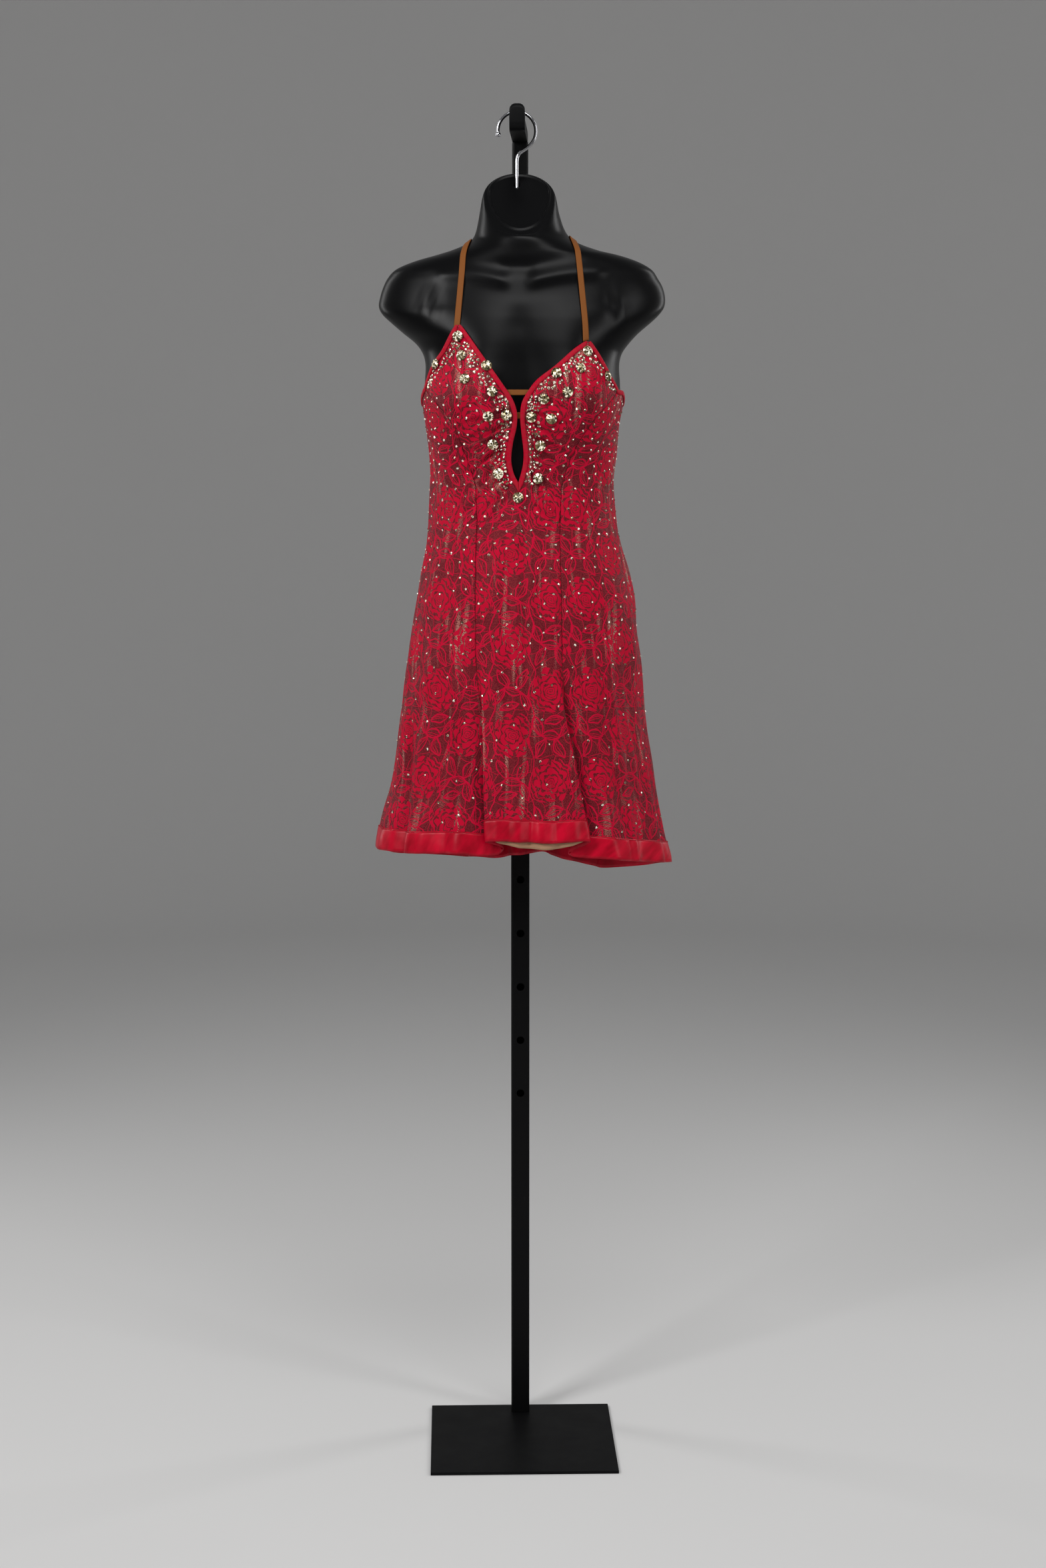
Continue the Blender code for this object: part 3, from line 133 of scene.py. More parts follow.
# Edges and seams: height, distance to the right of the Z axis
neckEdgeLeft = (
    (1.3250, -0.0075), (1.3390, -0.0145), (1.3560, -0.0178), (1.3770, -0.0160),
    (1.3990, -0.0112), (1.4160, -0.0106), (1.4330, -0.0160), (1.4500, -0.0270),
    (1.4800, -0.0480), (1.5180, -0.0740), (1.5300, -0.0825),
)
neckEdgeRight = (
    (1.3250, -0.0075), (1.3480, -0.0014), (1.3650, -0.0002), (1.3900, -0.0030),
    (1.4120, -0.0050), (1.4290, -0.0030), (1.4410, 0.0030), (1.4580, 0.0160),
    (1.4750, 0.0380), (1.4970, 0.0630), (1.5090, 0.0800),
)
armEdgeLeft = (
    (1.4500, -0.1292), (1.4640, -0.1250), (1.4820, -0.1170), (1.4990, -0.1050), (1.5300, -0.0880),
)
armEdgeRight = (
    (1.4470, 0.1240), (1.4560, 0.1190), (1.4650, 0.1130), (1.4880, 0.1000), (1.5090, 0.0855),
)
seamLeft = (
    (0.8400, -0.0680), (0.9140, -0.0690), (1.0010, -0.0670), (1.0880, -0.0645),
    (1.2000, -0.0640), (1.3210, -0.0640), (1.3430, -0.0700), (1.3780, -0.0830),
    (1.3990, -0.0920), (1.4270, -0.1120), (1.4500, -0.1292), (1.4530, -0.1310),
)
seamRight = (
    (0.8400, 0.1060), (0.9140, 0.0915), (0.9650, 0.0800), (1.0010, 0.0715),
    (1.0520, 0.0590), (1.0880, 0.0505), (1.2000, 0.0480), (1.3160, 0.0490),
    (1.3430, 0.0560), (1.3780, 0.0710), (1.3990, 0.0850), (1.4160, 0.0980),
    (1.4470, 0.1240), (1.4510, 0.1268),
)
# All round: bearing in degrees, height
hemLine = (
    (-180, 0.815), (-155, 0.811), (-135, 0.812), (-115, 0.818), (-102, 0.824), (-90, 0.838),
    (-72, 0.841), (-60, 0.842), (-45, 0.845), (-31, 0.847), (-26.5, 0.844), (-21.5, 0.862),
    (0, 0.863), (15, 0.861), (33, 0.861), (38, 0.844), (43, 0.837), (60, 0.829), (80, 0.819),
    (95, 0.812), (115, 0.798), (130, 0.801), (145, 0.813), (160, 0.818), (180, 0.815),
)
topLine = (
    (-180, 1.424), (-140, 1.428), (-110, 1.432), (-90, 1.4345), (-82, 1.4430), (-74, 1.4500),
    (74, 1.4470), (82, 1.4410), (90, 1.4335), (110, 1.432), (140, 1.428), (180, 1.424),
)
# A fold: bearing at its start and at the hem, start height, depth, half width, lean, swell.
# The first two follow the seams.
folds = (
    (None, None, 1.120, 0.040, 0.0080, 46, 0.0065),
    (None, None, 1.130, 0.046, 0.0085, -46, 0.0065),
    (-70, -63, 1.060, 0.026, 0.0080, 38, 0.0050),
    (-47, -43, 1.180, 0.005, 0.0170, 0, 0.0),
    (-4, 2, 1.140, 0.004, 0.0140, 0, 0.0),
    (16, 19, 1.120, 0.003, 0.0110, 0, 0.0),
    (55, 60, 1.160, 0.006, 0.0160, 0, 0.0),
    (77, 80, 1.100, 0.006, 0.0130, 0, 0.0),
    (-98, -100, 1.080, 0.008, 0.0150, 0, 0.0),
    (-124, -126, 1.160, 0.018, 0.0170, -10, 0.0),
    (-157, -156, 1.140, 0.016, 0.0160, 8, 0.0),
    (174, 174, 1.150, 0.017, 0.0160, 0, 0.0),
    (143, 145, 1.160, 0.018, 0.0170, -8, 0.0),
    (111, 115, 1.130, 0.015, 0.0160, 10, 0.0),
)
# Small creases, ridges where positive: bearing at the start and at the hem, start height,
# height and half width
creases = (
    (-20, -14, 1.330, 0.0016, 0.0065), (-13, -9, 1.318, -0.0012, 0.0050),
    (-7, -3, 1.312, 0.0017, 0.0055), (-1, 3, 1.306, -0.0013, 0.0045),
    (4, 8, 1.316, 0.0016, 0.0060), (11, 16, 1.326, -0.0011, 0.0050),
    (17, 24, 1.334, 0.0018, 0.0065), (-33, -33, 1.250, 0.0014, 0.0060),
    (-41, -38, 1.190, -0.0014, 0.0055), (-52, -50, 1.230, 0.0018, 0.0070),
    (-60, -56, 1.150, 0.0014, 0.0055), (-78, -74, 1.200, 0.0016, 0.0070),
    (-88, -86, 1.120, -0.0014, 0.0060), (34, 44, 1.240, 0.0016, 0.0060),
    (44, 52, 1.180, -0.0014, 0.0055), (50, 56, 1.220, 0.0019, 0.0060),
    (62, 66, 1.160, -0.0015, 0.0060), (70, 72, 1.210, 0.0018, 0.0065),
    (84, 88, 1.140, 0.0015, 0.0070), (104, 106, 1.180, 0.0018, 0.0090),
    (126, 128, 1.220, -0.0016, 0.0090), (156, 158, 1.200, 0.0018, 0.0090),
    (-172, -174, 1.240, -0.0015, 0.0080), (-141, -142, 1.210, 0.0018, 0.0090),
    (-112, -113, 1.160, 0.0016, 0.0080),
)


def smoothStep(value):
    value = np.clip(value, 0.0, 1.0)
    return value * value * (3 - 2 * value)


def mixed(first, second, share):
    return first + (second - first) * share


def readTable(rows, at):
    # every column after the first, read smoothly between the rows
    table = np.asarray(rows, float)
    keys, values = table[:, 0], table[:, 1:]
    at = np.clip(np.asarray(at, float), keys[0], keys[-1])
    upper = np.clip(np.searchsorted(keys, at), 1, len(keys) - 1)
    lower = upper - 1
    index = np.arange(len(keys))
    before, after = np.maximum(index - 1, 0), np.minimum(index + 1, len(keys) - 1)
    slopes = (values[after] - values[before]) / (keys[after] - keys[before])[:, None]
    span = keys[upper] - keys[lower]
    t = (at - keys[lower]) / span
    columns = []
    for column in range(values.shape[1]):
        columns.append(
            values[lower, column] * (2 * t**3 - 3 * t**2 + 1)
            + values[upper, column] * (3 * t**2 - 2 * t**3)
            + span * slopes[lower, column] * (t**3 - 2 * t**2 + t)
            + span * slopes[upper, column] * (t**3 - t**2)
        )
    return columns


def sectionRadius(rows, bearing, height):
    left, right, front, back, fullness = readTable(rows, height)
    sine, cosine = np.sin(bearing), np.cos(bearing)
    side = np.where(sine > 0, right, left)
    depth = np.where(cosine > 0, front, back)
    total = (np.abs(sine) / side) ** fullness + (np.abs(cosine) / depth) ** fullness
    return total ** (-1 / fullness)


def bustSwell(bust, bearing, height):
    size, spread = bust
    rise = np.exp(-(((height - dressSizes["bustHeight"]) / dressSizes["bustReach"]) ** 2) / 2)
    swell = 0.0
    for side in (-1, 1):
        off = (bearing - side * dressSizes["bustBearing"]) / spread
        swell = swell + size * rise * np.exp(-(off**2) / 2)
    return swell


def dressRadius(bearing, height):
    swell = bustSwell(dressSizes["dressBust"], bearing, height)
    return sectionRadius(dressSections, bearing, height) + swell


def torsoRadius(bearing, height):
    swell = bustSwell(dressSizes["torsoBust"], bearing, height)
    return sectionRadius(torsoSections, bearing, height) + swell


def bearingOf(x, height):
    # the bearing, on the front half, at which the cloth lies that far to the right
    x, height = np.broadcast_arrays(np.asarray(x, float), np.asarray(height, float))
    low, high = np.full(x.shape, -math.pi / 2), np.full(x.shape, math.pi / 2)
    for _ in range(36):
        middle = (low + high) / 2
        short = dressRadius(middle, height) * np.sin(middle) < x
        low, high = np.where(short, middle, low), np.where(short, high, middle)
    return (low + high) / 2


def bearingLine(edge):
    heights = np.array([row[0] for row in edge])
    bearings = bearingOf(np.array([row[1] for row in edge]), heights)
    return np.column_stack((heights, bearings))


lines = {
    "seamLeft": bearingLine(seamLeft),
    "seamRight": bearingLine(seamRight),
    "armLeft": bearingLine(armEdgeLeft),
    "armRight": bearingLine(armEdgeRight),
    "neckLeft": bearingLine(neckEdgeLeft),
    "neckRight": bearingLine(neckEdgeRight),
}


# way, name, and the lines of its seam, armhole and neck
bothSides = (
    (-1, "left", "seamLeft", "armLeft", "neckLeft"),
    (1, "right", "seamRight", "armRight", "neckRight"),
)


def lineAt(name, height):
    return readTable(lines[name], height)[0]


def turnBetween(bearing, other):
    return (bearing - other + math.pi) % (2 * math.pi) - math.pi


def hemHeight(bearing):
    return readTable(hemLine, np.degrees(turnBetween(bearing, 0)))[0]


def topHeight(bearing):
    return readTable(topLine, np.degrees(turnBetween(bearing, 0)))[0]


def foldPlaces(height):
    # bearing, depth, half width, lean and swell of each fold at these heights
    places = []
    for fold, seam in zip(folds, ("seamLeft", "seamRight") + (None,) * len(folds)):
        start = fold[2]
        fall = (start - height) / (start - dressSizes["hemLevel"])
        if seam:
            bearing = lineAt(seam, height)
        else:
            bearing = np.radians(mixed(fold[0], fold[1], fall))
        inside = fall > 0
        growth = np.where(inside, fall * smoothStep(2.5 * fall), 0.0)
        share = mixed(dressSizes["narrowStart"], 1.0, np.clip(fall, 0, 1))
        lean = math.radians(fold[5])
        places.append((bearing, fold[3] * growth, fold[4] * share, lean, fold[6] * growth))
    return places


sewnSettings = {
    # sizes in metres, and radians of the wave for each metre
    "wander": (0.0016, 150, 310, 0.0013, 520),
    "second": (0.35, 1.6, 0.61),  # strength, wander and pitch against the first wave's
    "uneven": (0.35, 260),
    "gatherStart": (1.2, 0.009),  # bindings' widths from the edge, and how softly they begin
    "seamTops": {"seamLeft": 1.450, "seamRight": 1.447},
    "pucker": (0.00035, 0.009, 0.003),  # size, reach from the seam, and smooth cloth beside it
    "puckerSway": (1.7, 61),
    "drift": ((0.0007, 9, 31), (0.0005, 17, -47)),  # size, waves round the body, radians for each metre up
    "driftTop": 1.42,
}


def gatherSwell(x, height):
    # ridges that fan out from the keyhole's edge on each side
    foot, top = dressSizes["gatherFoot"], dressSizes["gatherTop"]
    edgeHeight = np.maximum(height, dressSizes["keyholeFoot"])
    left = x < dressSizes["centreX"]
    edge = np.where(
        left, readTable(neckEdgeLeft, edgeHeight)[0], readTable(neckEdgeRight, edgeHeight)[0]
    )
    out = np.where(left, edge - x, x - edge)
    out = np.maximum(out, 0.0)
    dropTop, dropFoot = dressSizes["gatherDrop"]
    fan = (dropFoot - dropTop) / (top - foot)
    root = (height + (dropTop + fan * top) * out) / (1 + fan * out)
    inside = smoothStep((root - foot + 0.010) / 0.010) * smoothStep((top + 0.010 - root) / 0.010)
    clear, ease = sewnSettings["gatherStart"]
    rise = smoothStep((out - clear * dressSizes["bindingWidth"]) / ease)
    size, turnsOut, turnsUp, nextSize, nextTurns = sewnSettings["wander"]
    wander = size * np.sin(out * turnsOut + root * turnsUp)
    wander = wander + nextSize * np.sin(root * nextTurns + np.where(left, 0.0, 2.0))
    pitch = dressSizes["gatherPitch"]
    wave = np.cos(2 * math.pi * (root - foot + wander) / pitch)
    size, sway, finer = sewnSettings["second"]
    second = size * np.sin(2 * math.pi * (root - foot + sway * wander) / (finer * pitch))
    size, turns = sewnSettings["uneven"]
    strength = 1 + size * np.sin(root * turns + np.where(left, 1.0, 3.4))
    fade = np.exp(-((out / dressSizes["gatherReach"]) ** 2))
    swell = dressSizes["gatherDepth"] * inside * rise * fade * strength * (wave * 0.8 + second)
    return np.where((height > foot - 0.06) & (height < top + 0.02), swell, 0.0)


def seamDip(bearing, height, radius):
    # panels are pulled in a little along the seams, with small puckers beside them
    dip = np.zeros_like(radius)
    size, reach, smooth = sewnSettings["pucker"]
    sway, swayTurns = sewnSettings["puckerSway"]
    for name, top in sewnSettings["seamTops"].items():
        off = turnBetween(bearing, lineAt(name, height)) * radius
        shown = smoothStep((top + 0.004 - height) / 0.008)
        phase = 2 * math.pi * height / dressSizes["puckerPitch"]
        phase = phase + sway * np.sin(height * swayTurns)
        near, beside = np.exp(-((off / reach) ** 2)), 1 - np.exp(-((off / smooth) ** 2))
        pucker = size * np.sin(phase) * near * beside
        sink = dressSizes["seamDip"] * np.exp(-((off / dressSizes["seamDipWidth"]) ** 2))
        dip = dip + shown * (pucker - sink)
    return dip


def clothPoint(bearing, height):
    bearing, height = np.broadcast_arrays(np.asarray(bearing, float), np.asarray(height, float))
    smooth = dressRadius(bearing, height)
    radius = smooth + np.where(
        np.cos(bearing) > 0, gatherSwell(smooth * np.sin(bearing), height), 0.0
    )
    radius = radius + seamDip(bearing, height, smooth)
    for first, last, start, size, halfWidth in creases:
        fall = (start - height) / (start - dressSizes["hemLevel"])
        growth = smoothStep(fall * 5) * (0.55 + 0.45 * np.clip(fall, 0, 1.2))
        centre = np.radians(mixed(first, last, fall)) + 0.010 * np.sin(height * 23 + first)
        off = turnBetween(bearing, centre) * smooth / (halfWidth * (0.8 + 0.5 * np.clip(fall, 0, 1)))
        radius = radius + dressSizes["creaseStrength"] * size * growth * np.exp(-(off**2))
    (size, turnsRound, turnsUp), (nextSize, nextRound, nextUp) = sewnSettings["drift"]
    drift = size * np.sin(turnsRound * bearing + turnsUp * height)
    drift = drift + nextSize * np.sin(nextRound * bearing + nextUp * height + 1)
    radius = radius + drift * smoothStep((sewnSettings["driftTop"] - height) / 0.1)
    outX, outY = np.sin(bearing), -np.cos(bearing)
    x, y = outX * radius, outY * radius
    for centre, depth, halfWidth, lean, swell in foldPlaces(height):
        offset = turnBetween(bearing, centre) * smooth / halfWidth
        sink = depth / (1 + offset**4)
        openUp = swell * offset * np.exp(-np.minimum(offset**2 / 0.7, 60))
        outward = openUp * math.sin(lean) - sink * math.cos(lean)
        along = openUp * math.cos(lean) + sink * math.sin(lean)
        x = x + outX * outward - outY * along
        y = y + outY * outward + outX * along
    return np.stack((x, y, height + 0 * x), axis=-1)


def clothNormal(bearing, height):
    across = clothPoint(bearing + 0.002, height) - clothPoint(bearing - 0.002, height)
    up = clothPoint(bearing, height + 0.0005) - clothPoint(bearing, height - 0.0005)
    normal = np.cross(across, up)
    return normal / np.linalg.norm(normal, axis=-1, keepdims=True)


def clothLifted(bearing, height, lift):
    return clothPoint(bearing, height) + clothNormal(bearing, height) * np.asarray(lift)[..., None]


class Wire:
    # a value in a node tree that sums can be written with
    def __init__(self, tree, socket):
        self.tree = tree
        self.socket = socket

    def then(self, operation, *others):
        return calc(self.tree, operation, self, *others)

    def clamped(self):
        self.socket.node.use_clamp = True
        return self

    def __rsub__(self, other):
        return calc(self.tree, "SUBTRACT", other, self)

    def __rtruediv__(self, other):
        return calc(self.tree, "DIVIDE", other, self)

    __add__ = partialmethod(then, "ADD")
    __sub__ = partialmethod(then, "SUBTRACT")
    __mul__ = partialmethod(then, "MULTIPLY")
    __truediv__ = partialmethod(then, "DIVIDE")
    __pow__ = partialmethod(then, "POWER")
    __abs__ = partialmethod(then, "ABSOLUTE")
    __lt__ = partialmethod(then, "LESS_THAN")
    __gt__ = partialmethod(then, "GREATER_THAN")
    scaled = partialmethod(then, "MULTIPLY_ADD")
    larger = partialmethod(then, "MAXIMUM")


def plug(tree, socket, value):
    if isinstance(value, Wire):
        tree.links.new(value.socket, socket)
    else:
        socket.default_value = value


def addNode(tree, kind, inputs, output, **settings):
    node = tree.nodes.new(kind)
    for name, value in settings.items():
        setattr(node, name, value)
    for name, value in inputs.items():
        plug(tree, node.inputs[name], value)
    return Wire(tree, node.outputs[output])


def calc(tree, operation, *values):
    return addNode(tree, "ShaderNodeMath", dict(enumerate(values)), 0, operation=operation)


def blendColor(factor, *colors):
    # from the first colour to the second, each a wire, three numbers or a finish's name
    sockets = {0: factor}
    for place, color in zip((6, 7), colors):
        color = finishes[color] if isinstance(color, str) else color
        sockets[place] = color if isinstance(color, Wire) else (*color, 1)
    return addNode(factor.tree, "ShaderNodeMix", sockets, 2, data_type="RGBA")


def blendValue(factor, first, second):
    return factor.scaled(second - first, first)


def dimmed(finish, share):
    return tuple(share * part for part in finishes[finish])


def noiseAt(place, scale, detail=2.0, rough=0.5):
    return addNode(
        place.tree, "ShaderNodeTexNoise",
        {"Vector": place, "Scale": scale, "Detail": detail, "Roughness": rough}, "Fac",
    )


def stretched(place, scale):
    return addNode(place.tree, "ShaderNodeMapping", {"Vector": place, "Scale": scale}, 0)


def framed(place, centre, turn, half):
    # the place as seen from a motif: from its centre, along its own axes and in half sizes
    inputs = {"Vector": place, "Location": centre, "Rotation": turn, "Scale": half}
    return addNode(place.tree, "ShaderNodeMapping", inputs, 0, vector_type="TEXTURE")


def lengthOf(place):
    inputs = {"Vector": place}
    return addNode(place.tree, "ShaderNodeVectorMath", inputs, "Value", operation="LENGTH")


def flat(place):
    node = addNode(place.tree, "ShaderNodeSeparateXYZ", {"Vector": place}, 0).socket.node
    return Wire(place.tree, node.outputs[0]), Wire(place.tree, node.outputs[1])


def objectPlace(tree):
    return addNode(tree, "ShaderNodeTexCoord", {}, "Object")


def clothPlace(tree):
    # the cloth's own map, in millimetres
    return stretched(addNode(tree, "ShaderNodeUVMap", {}, 0, uv_map="cloth"), (1000, 1000, 1000))


def newGroup(name, vectors, values, results, draw):
    group = bpy.data.node_groups.new(name, "ShaderNodeTree")
    for kind, sockets in (("Vector", vectors), ("Float", values)):
        for socket in sockets:
            group.interface.new_socket(socket, in_out="INPUT", socket_type="NodeSocket" + kind)
    for socket in results:
        group.interface.new_socket(socket, in_out="OUTPUT", socket_type="NodeSocketFloat")
    start, end = group.nodes.new("NodeGroupInput"), group.nodes.new("NodeGroupOutput")
    drawn = draw(*(Wire(group, start.outputs[socket]) for socket in (*vectors, *values)))
    for socket, value in zip(results, drawn):
        plug(group, end.inputs[socket], value)
    return group


def useGroup(tree, group, inputs):
    node = addNode(tree, "ShaderNodeGroup", inputs, 0, node_tree=group).socket.node
    return {socket.name: Wire(tree, socket) for socket in node.outputs}


def newMaterial(name, paint):
    # paint gives what the shader's sockets take, and a bump's height, distance and strength
    material = bpy.data.materials.new(name)
    material.use_nodes = True
    tree = material.node_tree
    looks, bump = paint(tree)
    if bump:
        inputs = dict(zip(("Height", "Distance", "Strength"), bump))
        looks["Normal"] = addNode(tree, "ShaderNodeBump", inputs, 0)
    for socket, value in looks.items():
        plug(tree, tree.nodes["Principled BSDF"].inputs[socket], value)
    return material


netLean = 0.62


def drawNet(place, pitch, width):
    # two crossing sets of threads
    x, y = flat(place)
    lean, rate = y * netLean, math.pi / pitch
    first, second = (abs((way * rate).then("SINE")) for way in (x + lean, x - lean))
    near = first.then("MINIMUM", second)
    return near < width, (1.0 - near).clamped()


def drawGrain(place, scale, cloudScale):
    # fine mottling for moulded and painted surfaces
    return noiseAt(place, scale, 3.0), noiseAt(place, cloudScale, 4.0, 0.6)


def drawRub(place, scale, cover):
    # where a hard piece is rubbed a little brighter, in long streaks that run up and down
    streak = noiseAt(stretched(place, (1, 1, 0.12)), scale, 5.0, 0.7)
    return (((streak - (1.0 - cover)) * 9.0).clamped(),)


# widths in millimetres, and shares of the leaf's half sizes
leafSettings = {
    "outline": 0.86,
    "rib": 0.40,
    "second": 0.45,
    "inner": 0.56,
    "bow": 1.8,
    "end": 1.06,
}


def drawLeaf(place, centre, turn, half, width):
    # a leaf drawn in cord: pointed at both ends, with a rib and a second line on one side
    settings = leafSettings
    x, y = flat(framed(place, centre, turn, half))
    body = 1.0 - abs(x) ** settings["bow"]
    side = abs(y)
    within = side < body
    rim = (abs(side - body) * width < settings["outline"]) * (abs(x) < settings["end"])
    rib = (side * width < settings["rib"]) * within
    second = (abs(body.scaled(-settings["inner"], y)) * width < settings["second"]) * within
    return (rim.larger(rib.larger(second)),)


# all in shares of the rose's half size
roseSettings = {
    "wobble": (2.3, 0.30),  # scale and size
    # ring radius, petals, turn, gap
    "rings": ((0.34, 3, 0.4, 0.038), (0.54, 5, 1.3, 0.044), (0.75, 7, 0.2, 0.046)),
    "scallop": (0.26, 0.05),  # depth against the ring's radius, and how far the ring sinks
    "dash": (0.45, 0.85),  # how much the gap's width varies, and its mean
    "edge": (0.90, 9, 0.10),  # radius, petals, depth
    "eyes": (0.77, 0.34, 0.075),  # radius, width round the rose, width outward
    "loop": (1.05, 0.9, 0.026, -0.1),  # radius, depth against the edge's, width, where it ends
    "spiral": (0.11, 0.30, 0.27),  # pitch, open share, radius
}


def drawRose(place, centre, turn, half, phase):
    # a rose drawn in rings of scalloped petals round a spiral
    settings = roseSettings
    place = framed(place, centre, turn, half)
    x, y = flat(place)
    angle = y.then("ARCTAN2", x)
    wobbleScale, wobble = settings["wobble"]
    radius = (noiseAt(place, wobbleScale) - 0.5).scaled(wobble, lengthOf(place))

    def scallop(petals, turn):
        return abs(angle.scaled(petals / 2, phase + turn).then("COSINE"))

    edge, petals, depth = settings["edge"]
    rimWave = scallop(petals, 0.0)
    solid = radius < rimWave.scaled(depth, edge)
    (swing, sink), (vary, mean) = settings["scallop"], settings["dash"]
    for ring, petals, turn, gap in settings["rings"]:
        line = scallop(petals, turn).scaled(swing * ring, ring - sink)
        dash = angle.scaled(petals * 2 - 1, turn * 3).then("SINE")
        solid = solid * (abs(radius - line) > dash.scaled(gap * vary, gap * mean))
    eyeAt, eyeRound, eyeOut = settings["eyes"]
    eye = (rimWave < eyeRound) * (abs(radius - eyeAt) < eyeOut)
    pitch, openShare, spiralEnd = settings["spiral"]
    winding = radius / pitch - angle / (2 * math.pi)
    spiral = (winding.then("FRACT") < openShare) * (radius < spiralEnd)
    loopAt, loopDepth, loopWidth, loopEnd = settings["loop"]
    loop = abs(radius - rimWave.scaled(depth * loopDepth, loopAt)) < loopWidth
    part = angle.scaled(2.0, phase).then("SINE") > loopEnd
    return ((solid - eye).clamped() - spiral).clamped(), loop * part


# millimetres of cloth
laceSettings = {
    "repeat": (106.0, 117.0),
    "start": (40 + 31.0 / 106.0, 40 + 18.0 / 117.0),
    "drift": (0.034, 2.6, (11.0, 11.0, 0.0)),  # scale, detail and reach
    # centre, turn in degrees, half sizes, phase of the upper and of the lower half
    "rose": ((-26.5, 29.3), 20, (26.5, 29.0), (0.0, 0.9)),
    "roseRoom": 0.93,
    # centre, turn in degrees, half length, half width
    "leaves": (
        ((13, 15), 62, 14, 6.2), ((39, 14), 118, 14, 6.4), ((26, 30), 172, 13, 5.6),
        ((46, 38), 48, 13, 5.2), ((9, 43), 112, 13, 5.8), ((31, 49), 15, 13, 5.2),
    ),
    "vines": ((-53.0, 0.0), (53.0, 0.0), (0.0, 2.2)),  # distance to the right, phase
    "vine": (4.5, 0.80),  # swing and half width
    "twigs": (0.050, 0.9, 0.016),  # scale, randomness and half width
    "net": (1.7, 0.36),
    "ribbing": (0.8, 0.5),
    "tones": (0.035, 1.3, 0.45),  # scale of the clouds and of the flecks, and the flecks' strength
    "holes": (0.9, 0.46),  # scale and limit of the holes that shine
    "shine": 0.45,
    # the glints are pale streaks painted on, a painted highlight standing in for glints on the fold crests
    "paintedGlints": (0.10, 0.085, 0.57, 6.0),  # how long they run, scale, limit and contrast
    "rough": (0.84, 0.30),
}


def motifAt(cell, centre, turn, half):
    return {
        "Vector": cell, "Centre": (*centre, 0), "Turn": (0, 0, math.radians(turn)), "Half": (*half, 1),
    }


def drawChart(place):
    # the lace's repeat: a rose with six leaves, the same turned half round, and the vines between
    settings, tree = laceSettings, place.tree
    (wide, tall), (startX, startY) = settings["repeat"], settings["start"]
    scale, detail, reach = settings["drift"]
    flow = addNode(
        tree, "ShaderNodeTexNoise", {"Vector": place, "Scale": scale, "Detail": detail}, "Color"
    )
    drift = addNode(
        tree, "ShaderNodeVectorMath", {0: flow, 1: reach, 2: place}, 0, operation="MULTIPLY_ADD"
    )
    x, y = flat(drift)
    cellX = (x.scaled(1 / wide, startX).then("FRACT") - 0.5) * wide
    cellY = (y.scaled(1 / tall, startY).then("FRACT") - 0.5) * tall
    way = cellY.then("SIGN")
    cell = addNode(tree, "ShaderNodeCombineXYZ", {"X": cellX * way, "Y": abs(cellY)}, 0)
    centre, turn, half, (upper, lower) = settings["rose"]
    inputs = motifAt(cell, centre, turn, half)
    inputs["Phase"] = way.scaled((upper - lower) / 2, (upper + lower) / 2)
    rose = useGroup(tree, laceRose, inputs)
    covered = lengthOf(framed(cell, (*centre, 0), (0, 0, 0), (*half, 1)))
    cord = rose["Cord"]
    for centre, turn, length, width in settings["leaves"]:
        inputs = motifAt(cell, centre, turn, (length, width))
        cord = cord.larger(useGroup(tree, laceLeaf, {**inputs, "Width": width})["Cord"])
    swing, vineWidth = settings["vine"]
    for vineX, phase in settings["vines"]:
        wave = cellY.scaled(4 * math.pi / tall, phase).then("SINE")
        cord = cord.larger(abs(cellX - vineX - wave * swing) < vineWidth)
    scale, randomness, twigWidth = settings["twigs"]
    twigs = addNode(
        tree, "ShaderNodeTexVoronoi", {"Vector": drift, "Scale": scale, "Randomness": randomness},
        "Distance", voronoi_dimensions="2D", feature="DISTANCE_TO_EDGE",
    )
    cord = cord.larger(twigs < twigWidth)
    return rose["Solid"], cord * (covered > settings["roseRoom"])


finishes = {
    "laceRed": (0.54, 0.0010, 0.032),
    "laceDeep": (0.44, 0.0008, 0.020),
    "netThread": (0.145, 0.0012, 0.011),
    "liningSeen": (0.062, 0.0025, 0.008),
    "liningShine": (0.21, 0.028, 0.030),
    # a painted highlight: the pale gold of the glint streaks painted on the lace's holes
    "liningGlint": (0.72, 0.36, 0.28),
    "edgeHole": (0.30, 0.030, 0.034),
    "satinRed": (0.56, 0.0008, 0.022),
    # painted shade: the satin's red darkened for the hollows of its ripples
    "satinDeep": (0.30, 0.0005, 0.010),
    "tan": (0.46, 0.265, 0.150),
    "tanDeep": (0.36, 0.195, 0.105),
    "elastic": (0.215, 0.068, 0.010),
    "threadRed": (0.20, 0.0010, 0.008),
    "formBlack": (0.0022, 0.0022, 0.0025),
    "formWorn": (0.020, 0.020, 0.021),
    "standBlack": (0.0030, 0.0030, 0.0033),
    "standWorn": (0.032, 0.031, 0.030),
    "chromeDark": (0.36, 0.36, 0.38),
    "chromeBright": (0.55, 0.55, 0.57),
    "unlit": (0.0, 0.0, 0.0),
    "floor": (0.66, 0.655, 0.65),
}


def netAt(place, pitch, width):
    return useGroup(place.tree, netThreads, {"Vector": place, "Pitch": pitch, "Width": width})


def grainAt(place, scale, cloud):
    return useGroup(place.tree, surfaceGrain, {"Vector": place, "Scale": scale, "Cloud": cloud})


